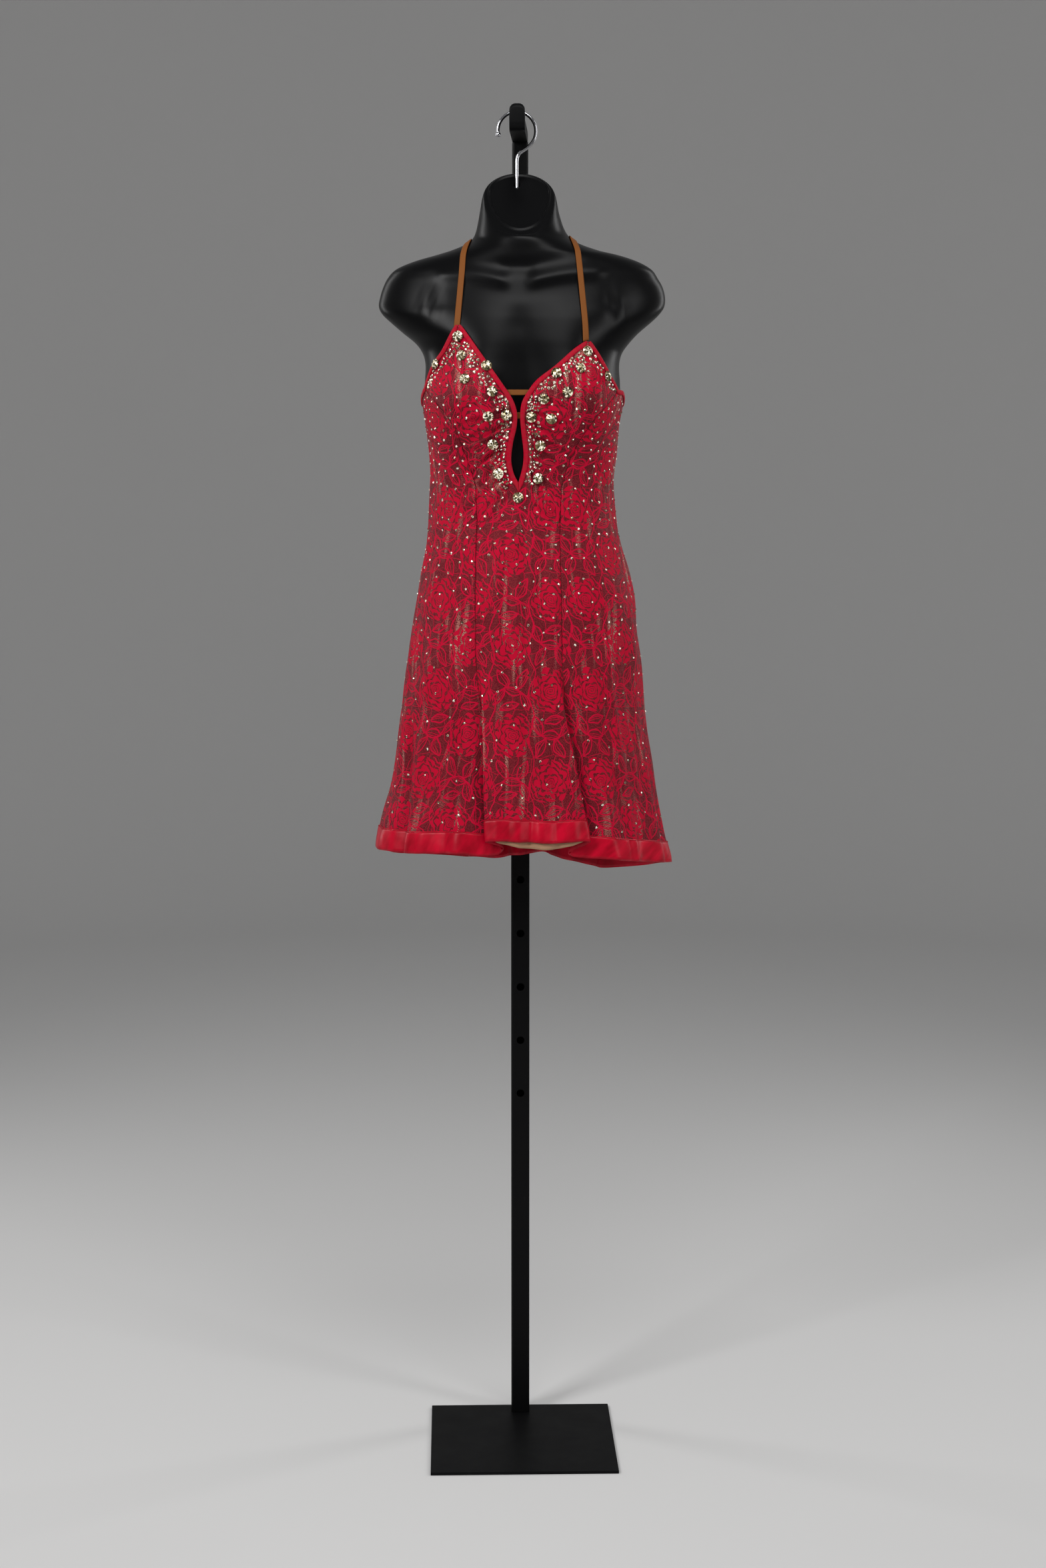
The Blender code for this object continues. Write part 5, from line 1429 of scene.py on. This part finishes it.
def formRelief(x, height, front):
    # collar bones, the notch between them, the flat of the breastbone and the arm creases
    lift = np.zeros_like(x)
    for (innerX, innerZ), (outerX, outerZ) in formSettings["collarBones"]:
        share = np.clip((x - innerX) / (outerX - innerX), 0, 1)
        ridge = mixed(innerZ, outerZ, share) + 0.004 * np.sin(math.pi * share)
        along = (x - innerX) / (outerX - innerX)
        ends = smoothStep(along * 4.5 + 0.25) * smoothStep((1.08 - along) * 5)
        off = (height - ridge) / formSettings["boneWidth"]
        # the bone stands out, and the form sinks in above it
        bone = np.exp(-(off**2)) - 0.55 * np.exp(-((off - 2.1) ** 2) / 1.3)
        lift += formSettings["boneHeight"] * ends * bone
    notch = np.exp(-(((x + 0.008) / 0.021) ** 4) - ((height - 1.606) / 0.011) ** 2)
    lift -= formSettings["notchDepth"] * notch
    levels = smoothStep((height - 1.43) / 0.04) * smoothStep((1.565 - height) / 0.04)
    lift -= formSettings["hollowDepth"] * np.exp(-(((x + 0.006) / 0.016) ** 2)) * levels
    for side in (-1, 1):
        crease = (side * x - 0.1180 + 0.10 * (height - 1.555)) / 0.0062
        level = np.exp(-(((height - 1.560) / 0.022) ** 2))
        fold = np.exp(-((crease - 1.3) ** 2)) - np.exp(-((crease + 0.6) ** 2))
        lift += formSettings["armCrease"] * level * fold
    return lift * front


def buildForm():
    columns = formSettings["columns"]
    bearings = np.linspace(-math.pi, math.pi, columns + 1)
    heights = np.array([row[0] for row in torsoSections])
    even = np.linspace(0, len(heights) - 1, formSettings["rings"])
    levels = np.interp(even, np.arange(len(heights)), heights)
    bearingGrid, levelGrid = np.meshgrid(bearings, levels)
    radius = torsoRadius(bearingGrid, levelGrid)
    front = smoothStep(np.cos(bearingGrid) / 0.35)
    radius = radius + formRelief(radius * np.sin(bearingGrid), levelGrid, front)
    rows = list(np.stack((
        np.sin(bearingGrid) * radius, -np.cos(bearingGrid) * radius, levelGrid
    ), axis=-1))
    foot = len(rows)
    levelsOfNeck = np.array(formSettings["neck"])
    keys = np.column_stack((np.arange(len(levelsOfNeck)), levelsOfNeck))
    lastTorso = np.array(formSettings["torsoTop"])
    for part in np.linspace(0, 1, formSettings["neckRings"] + 1)[1:]:
        rows.append(neckRow(mixed(lastTorso, levelsOfNeck[0], part), bearings))
    for at in np.linspace(0, len(levelsOfNeck) - 1, 34)[1:]:
        rows.append(neckRow(readTable(keys, at), bearings))
    # the slanting face runs in to the hook's mouth
    mouthX, mouthY = hookSettings["x"], hookSettings["y"]
    faceZ = levelsOfNeck[-1, 0] + levelsOfNeck[-1, 1] * (mouthY - formSettings["pivotY"])
    slope = levelsOfNeck[-1, 1]
    ring = np.stack((
        mouthX + formSettings["mouthRadius"] * np.sin(bearings),
        mouthY - formSettings["mouthRadius"] * np.cos(bearings),
    ), axis=-1)
    mouth = np.column_stack((ring, faceZ + slope * (ring[:, 1] - mouthY)))
    rim = rows[-1]
    for share in (0.05, 0.3, 0.6, 0.85, 0.97, 1.0):
        rows.append(mixed(rim, mouth, share))
    for share in (0.03, 0.5, 1.0):
        low = mouth.copy()
        low[:, 2] = mixed(mouth[:, 2], faceZ - formSettings["mouthDepth"], share)
        rows.append(low)
    points = np.array(rows)
    below, above, rounds = formSettings["neckEase"]
    low, high = foot - below, foot + above
    for _ in range(rounds):
        beside = points[low - 1:high - 1] + points[low + 1:high + 1]
        points[low:high] = points[low:high] * 0.5 + beside * 0.25
    builder = bmesh.new()
    uvLayer = builder.loops.layers.uv.new("cloth")
    layGrid(builder, uvLayer, points, points[:, :, :2])
    bmesh.ops.remove_doubles(builder, verts=builder.verts, dist=0.00002)
    tree = BVHTree.FromBMesh(builder)
    builder.edges.ensure_lookup_table()
    border = [edge for edge in builder.edges if edge.is_boundary]
    bmesh.ops.holes_fill(builder, edges=border, sides=columns + 2)
    bmesh.ops.triangulate(builder, faces=[face for face in builder.faces if len(face.verts) > 4])
    bmesh.ops.recalc_face_normals(builder, faces=builder.faces)
    form = newObject("dress_form_body", meshFrom("dress_form_body", builder), ["form"])
    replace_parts(form, "dress_form")
    return tree


def buildHook():
    settings = hookSettings
    centre = np.array((0.0, settings["loopZ"]))
    start = np.array((0.0, settings["neckZ"]))
    lean = settings["lean"]
    loopStart = centre + settings["loop"] * np.array((math.cos(lean), math.sin(lean)))
    heading = np.array((-math.sin(lean), math.cos(lean)))
    first, second = start + (0, settings["ease"]), loopStart - heading * settings["ease"]
    route = [(0.0, settings["foot"]), (0.0, settings["foot"] + settings["shank"]), tuple(start)]
    for t in np.linspace(0, 1, 26)[1:-1]:
        rest = 1 - t
        early, late = start * rest**3 + first * 3 * t * rest**2, second * 3 * t**2 * rest
        route.append(tuple(early + late + loopStart * t**3))
    for angle in np.linspace(lean, settings["end"], 64):
        route.append(tuple(centre + settings["loop"] * np.array((math.cos(angle), math.sin(angle)))))
    points = [np.array((settings["x"] + x, settings["y"], z)) for x, z in route]
    radii = [1.0] * len(points)
    away = np.array((0.07, 0.0, -1.0))
    away /= np.linalg.norm(away)
    tip = points[-1]
    for along, size in settings["ball"][1:]:
        points.append(tip + away * along)
        radii.append(size)
    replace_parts(tubeAlong("hook_wire", points, settings["wire"], "chrome", radii, 6), "hook")


strapSettings = {
    "width": 0.0075,
    "axisHeight": 1.5600,
    "lift": 0.0012,
    "wall": 0.0009,
    "across": 6,
    "steps": 150,
    # angle over the shoulder, places of the left and right straps
    "route": (
        (-31, -0.0880, 0.0800), (-19, -0.0865, 0.0792), (0, -0.0838, 0.0768),
        (34, -0.0800, 0.0730), (50, -0.0785, 0.0712), (66, -0.0750, 0.0680),
        (83, -0.0715, 0.0660), (110, -0.0690, 0.0650), (141, -0.0660, 0.0630),
        (188, -0.0620, 0.0610), (243, -0.0600, 0.0600),
    ),
}


def strapLine(tree, column, shift):
    # one long edge of a strap, drawn tight over the form
    kept = []
    axis = Vector((0, 0, strapSettings["axisHeight"]))
    for angle in range(-31, 244, 2):
        turn = math.radians(angle)
        direction = Vector((0, -math.cos(turn), math.sin(turn)))
        x = Vector((float(readTable(strapSettings["route"], angle)[column]) + shift, 0, 0))
        hit = tree.ray_cast(axis + x + direction * 0.3, -direction)[0]
        point = hit + direction * strapSettings["lift"]
        while len(kept) > 1:
            before, after = kept[-1] - kept[-2], point - kept[-1]
            if before.z * after.y - before.y * after.z > 0:
                break
            kept.pop()
        kept.append(point)
    line = np.array(kept)
    lengths = runAlong(line)
    return readAlong(line, lengths, np.linspace(0, lengths[-1], strapSettings["steps"] + 1))


def buildStraps(tree):
    half = strapSettings["width"] / 2
    for side, column in (("left", 0), ("right", 1)):
        left, right = strapLine(tree, column, -half), strapLine(tree, column, half)
        share = np.linspace(0, 1, strapSettings["across"] + 1)[None, :, None]
        points = mixed(left[:, None, :], right[:, None, :], share)
        run = runAlong(left)
        across = np.broadcast_to(share[..., 0] * strapSettings["width"], points.shape[:2])
        uv = np.stack((across, np.broadcast_to(run[:, None], points.shape[:2])), axis=-1)
        strap = sheetFrom(
            f"strap_{side}_elastic", f"strap_{side}", [(points, uv)], ["elastic"],
            strapSettings["wall"], side=1.0,
        )
        print(strap.name, "length", round(float(run[-1]), 4))


armSettings = {
    "width": 0.0203,
    "turn": math.radians(-3.4),
    "back": 0.1187,
    "centreY": 0.1079,
    "tip": -0.0180,
    "underside": 1.7850,
    "top": 1.8075,
    "tipTop": 1.8205,
    "lip": 0.0062,
    "crown": 0.0080,
    "crownStart": 1.7950,
    "plugRadius": 0.0086,
    "plugDepth": 0.0340,
    "bend": 0.012,  # the radius of the outer corners
    "notch": 0.008,
}


def cornerArc(centreY, centreZ, radius, start, end, steps):
    turn = np.radians(np.linspace(start, end, steps + 1))
    return list(zip(centreY + radius * np.cos(turn), centreZ + radius * np.sin(turn)))


def buildArm():
    # the arm from the side, with its top rounded from left to right
    settings = armSettings
    back, tip, lip = settings["back"], settings["tip"], settings["lip"]
    bend, notch = settings["bend"], settings["notch"]
    outline = [(back, settings["underside"])]
    outline += cornerArc(back - bend, settings["top"] - bend, bend, 0, 90, 8)
    outline += cornerArc(tip + 2 * lip + notch, settings["top"] + notch, notch, 270, 180, 8)
    outline += cornerArc(tip + lip, settings["tipTop"] - lip, lip, 0, 180, 16)
    outline += cornerArc(tip + bend, settings["underside"] + bend, bend, 180, 270, 10)
    outline.append(outline[0])
    half = settings["width"] / 2
    across = half * np.sin(np.linspace(-math.pi / 2, math.pi / 2, 25))
    y, z = np.array(outline).T
    inset = np.maximum(np.abs(across) - (half - settings["crown"]), 0.0)
    drop = settings["crown"] - np.sqrt(np.maximum(settings["crown"] ** 2 - inset**2, 0.0))
    weight = smoothStep((z - settings["crownStart"]) / (settings["top"] - settings["crownStart"]))
    points = np.stack(np.broadcast_arrays(
        across[None, :], y[:, None], z[:, None] - weight[:, None] * drop[None, :]
    ), axis=-1)
    builder = bmesh.new()
    uvLayer = builder.loops.layers.uv.new("cloth")
    layGrid(builder, uvLayer, points, points[:, :, :2])
    bmesh.ops.remove_doubles(builder, verts=builder.verts, dist=0.00001)
    bmesh.ops.holes_fill(builder, edges=[edge for edge in builder.edges if edge.is_boundary], sides=200)
    centre = Vector((0, settings["centreY"], 0))
    bmesh.ops.rotate(
        builder, verts=builder.verts, cent=centre, matrix=Matrix.Rotation(settings["turn"], 3, "Z")
    )
    radius, depth = settings["plugRadius"], settings["plugDepth"]
    plugPlace = Matrix.Translation((0, settings["centreY"], settings["underside"] - depth / 2))
    bmesh.ops.create_cone(
        builder, cap_ends=True, segments=32, radius1=radius, radius2=radius, depth=depth, matrix=plugPlace
    )
    bmesh.ops.triangulate(builder, faces=[face for face in builder.faces if len(face.verts) > 4])
    bmesh.ops.recalc_face_normals(builder, faces=builder.faces)
    mesh = meshFrom("hanger_arm_body", builder)
    arm = newObject("hanger_arm_body", mesh, ["stand"])
    mesh.set_sharp_from_angle(angle=math.radians(38))
    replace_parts(arm, "hanger_arm")


stoneSettings = {
    "radius": 0.0070,
    "height": 0.0044,
    "girdle": 0.0013,
    "undercut": 0.0006,
    "facets": 14,
    "tier": (0.60, 0.0031),
    # distance to the right, height, whether it lies over a binding
    "places": (
        (-0.0850, 1.5150, True), (-0.0810, 1.4900, False), (-0.1130, 1.4800, True),
        (-0.0490, 1.4760, True), (-0.0770, 1.4600, False), (-0.0420, 1.4440, False),
        (-0.0470, 1.4130, False), (-0.0238, 1.4140, False), (-0.0410, 1.3780, False),
        (-0.0320, 1.3390, False), (-0.0080, 1.3080, False), (0.0815, 1.4960, False),
        (0.0720, 1.4740, False), (0.0410, 1.4670, True), (0.1070, 1.4640, True),
        (0.0550, 1.4430, False), (0.0250, 1.4350, False), (0.0085, 1.4110, False),
        (0.0340, 1.4080, False), (0.0200, 1.3750, False), (0.0170, 1.3330, False),
    ),
    "clear": 0.0004,
    "bindingLift": 0.0017,
    "bridging": 3.0,
}


def cutStone():
    # a flat back, a thin girdle and two tiers of facets to a point
    settings = stoneSettings
    builder = bmesh.new()
    bmesh.ops.create_cone(
        builder, cap_ends=True, segments=settings["facets"],
        radius1=settings["radius"] - settings["undercut"], radius2=settings["radius"],
        depth=settings["girdle"], matrix=Matrix.Translation((0, 0, settings["girdle"] / 2)),
    )
    top = max(builder.faces, key=lambda face: face.calc_center_median().z)
    bmesh.ops.inset_individual(builder, faces=[top], thickness=0.001, use_even_offset=False)
    raised = [face for face in builder.faces if face.calc_center_median().z > 0.9 * settings["girdle"]]
    top = max(raised, key=lambda face: face.calc_area())
    size, height = settings["tier"]
    turn = Matrix.Rotation(math.pi / settings["facets"], 4, "Z")
    for vert in top.verts:
        flat = Vector((vert.co.x, vert.co.y, 0)).normalized() * settings["radius"] * size
        vert.co = turn @ Vector((flat.x, flat.y, height))
    bmesh.ops.poke(builder, faces=[top])
    above = [vert for vert in builder.verts if vert.co.z > settings["girdle"]]
    peak = min(above, key=lambda vert: vert.co.xy.length)
    peak.co = (0, 0, settings["height"])
    bmesh.ops.triangulate(builder, faces=[face for face in builder.faces if len(face.verts) == 4])
    bmesh.ops.recalc_face_normals(builder, faces=builder.faces)
    return meshFrom("cut_stone", builder)


def givePaintedReflections(mesh, bright):
    # painted reflections: facets turn light or dark by chance, as reflections do on foiled glass
    count = len(mesh.polygons)
    tones = 0.62 * dice.random(count) ** 1.4
    tones = np.where(dice.random(count) < bright, dice.uniform(0.80, 1.0, count), tones)
    attribute = mesh.attributes.new("facetReflection", "FLOAT", "FACE")
    attribute.data.foreach_set("value", tones.astype(np.float32))


def placement(point, normal, turn=0.0, size=1.0):
    spin = Vector(normal).to_track_quat("Z", "Y").to_matrix().to_4x4()
    return (
        Matrix.Translation(Vector(point)) @ spin @ Matrix.Rotation(turn, 4, "Z") @ Matrix.Scale(size, 4)
    )


def buildLargeStones():
    shape = cutStone()
    radius = stoneSettings["radius"]
    angles = np.linspace(0, 2 * math.pi, 16, endpoint=False)
    seats = []
    for number, (x, height, overBinding) in enumerate(stoneSettings["places"], 1):
        bearing = bearingOf(x, height)
        seat, normal = clothPoint(bearing, height), clothNormal(bearing, height)
        ringX = np.concatenate([x + reach * radius * np.cos(angles) for reach in (0.5, 1.0)])
        ringZ = np.concatenate([height + reach * radius * np.sin(angles) for reach in (0.5, 1.0)])
        ring = bearingOf(ringX, ringZ)
        near = clothPoint(ring, ringZ)
        # a stone bridges the gathers, so it follows the cloth round it and not one fold's side
        normal = normal + clothNormal(ring, ringZ).mean(axis=0) * stoneSettings["bridging"]
        normal /= np.linalg.norm(normal)
        highest = max(float(((near - seat) @ normal).max()), 0.0)
        overEdge = stoneSettings["bindingLift"] if overBinding else 0.0
        lift = highest + stoneSettings["clear"] + overEdge
        mesh = shape.copy()
        mesh.name = f"stone_{number:02d}_cut"
        mesh.transform(placement(seat + normal * lift, normal, dice.uniform(0, 1.0)))
        givePaintedReflections(mesh, bright=0.30)
        stone = newObject(mesh.name, mesh, ["largeStone"], smooth=False)
        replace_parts(stone, f"stone_{number:02d}")
        seats.append(seat)
    return np.array(seats)


smallStoneSettings = {
    "facets": 7,
    "flat": 0.52,
    "depth": 0.46,
    "sizes": (0.00145, 0.00185),
    "bandSizes": (0.0015, 0.0023),
    "bandOffsets": (0.0080, 0.0122, 0.0164, 0.0208),
    "bandStep": 0.0043,
    "bandSteps": (1.0, 1.05, 1.25, 1.8),  # each row's step against the first's
    "bandRoom": 0.0037,
    "bandStray": 0.0018,
    "stoneRoom": 0.0098,  # from the middle of a large stone
    "lift": 0.00012,
    "throws": 32000,
    "throwHeights": (0.81, 1.535),
    # room left beside seams, edges, the hem's band and the top
    "room": {"seam": 0.0035, "edge": 0.0075, "hem": 0.004, "top": 0.012},
    # height and the distance between neighbours on the front, and on the back
    "spacing": (
        (0.80, 0.032, 0.044), (0.95, 0.027, 0.038), (1.10, 0.0215, 0.032), (1.22, 0.0160, 0.027),
        (1.33, 0.0125, 0.022), (1.40, 0.0112, 0.020), (1.54, 0.0105, 0.019),
    ),
}


def smallStone():
    builder = bmesh.new()
    bmesh.ops.create_cone(
        builder, cap_ends=True, segments=smallStoneSettings["facets"], radius1=1.0,
        radius2=smallStoneSettings["flat"], depth=smallStoneSettings["depth"],
        matrix=Matrix.Translation((0, 0, smallStoneSettings["depth"] / 2)),
    )
    return meshFrom("small_stone", builder)


def insideCloth(bearing, height):
    # places on the front between the edges, and on the rest of the cloth
    room = smallStoneSettings["room"]
    below = height < topHeight(bearing) - room["top"]
    seamShow = np.ones(height.shape, bool)
    cup = np.zeros(height.shape, bool)
    margin = room["edge"] / dressRadius(bearing, height)
    for side, _, seam, arm, neck in bothSides:
        reach = np.abs(turnBetween(bearing, lineAt(seam, height))) * dressRadius(bearing, height)
        seamShow &= (reach > room["seam"]) | (height > 1.45)
        inner, outer = lineAt(neck, height), lineAt(arm, height)
        within = (side * (bearing - inner) > margin) & (side * (outer - bearing) > margin)
        within &= height < lines[arm][-1, 0] - room["top"]
        low = side * (bearing - inner) > np.where(height > keyholeFoot, margin, -1.0)
        own = side * bearing > side * centreLine(height)
        cup |= own & np.where(height > lines[arm][0, 0], within, low & below)
    hem = height > hemHeight(bearing) + dressSizes["bandHeight"] + room["hem"]
    return np.where(np.abs(bearing) < halfPi, cup, below) & hem & seamShow


def edgeRows():
    # rows of small stones that follow the neckline, keyhole and armholes
    settings, found = smallStoneSettings, []
    for side, _, _, arm, neck in bothSides:
        for name, inwardSide, start in ((neck, side, keyholeFoot), (arm, -side, lines[arm][0, 0])):
            top = lines[arm][-1, 0] - 0.008
            heights = np.linspace(start + 0.004, top, 400)
            bearings = lineAt(name, heights)
            edge = clothPoint(bearings, heights)
            run = runAlong(edge)
            inward = inwardFrom(edge, bearings, heights, inwardSide > 0)
            rowCount = 4 if name == neck else 3
            rows = list(enumerate(settings["bandOffsets"][:rowCount]))
            for row, offset in rows * 3:
                step = settings["bandStep"] * settings["bandSteps"][row]
                at = np.arange(step * (0.5 + 0.5 * (row % 2)), run[-1], step)
                at = at + dice.uniform(-0.5, 0.5, len(at)) * step
                reach = offset + dice.uniform(-settings["bandStray"], settings["bandStray"], len(at))
                place = readAlong(edge, run, at) + readAlong(inward, run, at) * reach[:, None]
                found.append(np.column_stack((np.arctan2(place[:, 0], -place[:, 1]), place[:, 2])))
    return np.vstack(found)


def placeSmallStones(seats):
    throws = smallStoneSettings["throws"]
    bearing = dice.uniform(-math.pi, math.pi, throws)
    height = dice.uniform(*smallStoneSettings["throwHeights"], throws)
    band = edgeRows()
    isBand = np.concatenate((np.ones(len(band), bool), np.zeros(throws, bool)))
    bearing = np.concatenate((band[:, 0], bearing))
    height = np.concatenate((band[:, 1], height))
    keep = insideCloth(bearing, height)
    bearing, height, isBand = bearing[keep], height[keep], isBand[keep]
    points = clothPoint(bearing, height)
    front, back = readTable(smallStoneSettings["spacing"], height)
    spacing = mixed(back, front, smoothStep((np.cos(bearing) + 0.25) / 0.5))
    room = smallStoneSettings["bandRoom"]
    spacing = np.where(isBand, room, spacing * dice.uniform(0.85, 1.15, len(height)))
    placed, chosen = np.empty((0, 3)), []
    for index, point in enumerate(points):
        if np.linalg.norm(seats - point, axis=1).min() < smallStoneSettings["stoneRoom"]:
            continue
        if len(placed) and np.linalg.norm(placed - point, axis=1).min() < spacing[index]:
            continue
        placed = np.vstack((placed, point))
        chosen.append(index)
    return bearing[chosen], height[chosen], isBand[chosen]


def buildSmallStones(seats):
    bearing, height, isBand = placeSmallStones(seats)
    points, normals = clothPoint(bearing, height), clothNormal(bearing, height)
    shape = smallStone()
    front = np.abs(bearing) < halfPi
    left, right = bearing <= lineAt("seamLeft", height), bearing >= lineAt("seamRight", height)
    groups = {
        "front_center_rhinestones": front & ~left & ~right,
        "side_front_left_rhinestones": front & left,
        "side_front_right_rhinestones": front & right,
        "back_rhinestones": ~front,
    }
    for name, members in groups.items():
        builder = bmesh.new()
        for index in np.flatnonzero(members):
            low, high = smallStoneSettings["bandSizes" if isBand[index] else "sizes"]
            size = dice.uniform(low, high)
            copy = shape.copy()
            turn = dice.uniform(0, 2 * math.pi)
            seat = points[index] + normals[index] * smallStoneSettings["lift"]
            copy.transform(placement(seat, normals[index], turn, size))
            builder.from_mesh(copy)
            bpy.data.meshes.remove(copy)
        mesh = meshFrom(name, builder)
        givePaintedReflections(mesh, bright=0.34)
        newObject(name, mesh, ["smallStone"], smooth=False)
        print(name, int(members.sum()), "stones")


buildPanels()
buildBands()
buildLiningHem()
buildBindings()
buildTabs()
print("cloth built")
formTree = buildForm()
buildHook()
buildArm()
buildStraps(formTree)
print("form, hook and straps built")
buildSmallStones(buildLargeStones())

for node in ("base_plate", "pole_outer", "pole_inner"):
    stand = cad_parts[node]
    for place in stand.material_slots:
        place.material = materials["stand"]


studioSettings = {
    "sweepRadius": 6.5,
    "sweepHeight": 5.0,
    "sweepSteps": 96,
    "bend": 2.4,
    "world": (0.93, 0.94, 0.95),
    "worldStrength": 0.22,
    # name, place, size, power, aimed at
    "lights": (
        ("key", (-1.9, -2.0, 2.5), (0.9, 1.3), 52, (0, 0, 1.25)),
        ("fill", (2.3, -1.6, 1.9), (0.6, 1.8), 20, (0, 0, 1.2)),
        ("top", (0.3, -1.7, 3.3), (1.6, 1.0), 30, (0, 0, 1.2)),
        ("rimLeft", (-1.7, 1.0, 1.9), (0.4, 2.0), 12, (0, 0, 1.3)),
        ("rimRight", (1.7, 1.0, 1.9), (0.4, 2.0), 12, (0, 0, 1.3)),
    ),
    "cameraPlace": (-0.0940, -3.4382, 1.3276),
    "cameraForward": (0.0274, 0.9927, -0.1171),
    "lens": 58.71,
}


def buildSweep():
    # a round floor whose edge bends up all round, so that every side has the same pale ground
    settings = studioSettings
    builder = bmesh.new()
    reach, bend = settings["sweepRadius"], settings["bend"]
    profile = [(0.0, 0.0), (reach - bend, 0.0)]
    for step in range(1, 25):
        turn = math.pi / 2 * step / 24
        profile.append((reach - bend * (1 - math.sin(turn)), bend * (1 - math.cos(turn))))
    profile.append((reach, settings["sweepHeight"]))
    row = [builder.verts.new((x, 0, z)) for x, z in profile]
    line = [builder.edges.new(pair) for pair in zip(row, row[1:])]
    bmesh.ops.spin(
        builder, geom=row + line, cent=(0, 0, 0), axis=(0, 0, 1), angle=2 * math.pi,
        steps=settings["sweepSteps"], use_merge=True,
    )
    bmesh.ops.remove_doubles(builder, verts=builder.verts, dist=0.0001)
    bmesh.ops.recalc_face_normals(builder, faces=builder.faces)
    mesh = meshFrom("studio_sweep", builder)
    sweep = bpy.data.objects.new("studio_sweep", mesh)
    scene.collection.objects.link(sweep)
    mesh.shade_smooth()
    mesh.materials.append(newMaterial("pale studio floor", floorPaint))


def aimed(item, target):
    direction = Vector(target) - item.location
    item.rotation_euler = direction.to_track_quat("-Z", "Y").to_euler()


def buildStudio():
    settings = studioSettings
    buildSweep()
    world = bpy.data.worlds.new("studio")
    world.use_nodes = True
    background = world.node_tree.nodes["Background"]
    background.inputs["Color"].default_value = (*settings["world"], 1)
    background.inputs["Strength"].default_value = settings["worldStrength"]
    scene.world = world
    for name, place, size, power, target in settings["lights"]:
        light = bpy.data.lights.new(name, "AREA")
        light.shape = "RECTANGLE"
        light.size, light.size_y = size
        light.energy = power
        item = bpy.data.objects.new(name, light)
        item.location = place
        aimed(item, target)
        scene.collection.objects.link(item)
    lens = bpy.data.cameras.new("camera")
    lens.lens = settings["lens"]
    lens.sensor_width = 36
    camera = bpy.data.objects.new("camera", lens)
    camera.location = settings["cameraPlace"]
    camera.rotation_euler = Vector(settings["cameraForward"]).to_track_quat("-Z", "Y").to_euler()
    scene.collection.objects.link(camera)
    scene.camera = camera


buildStudio()
print("studio ready")
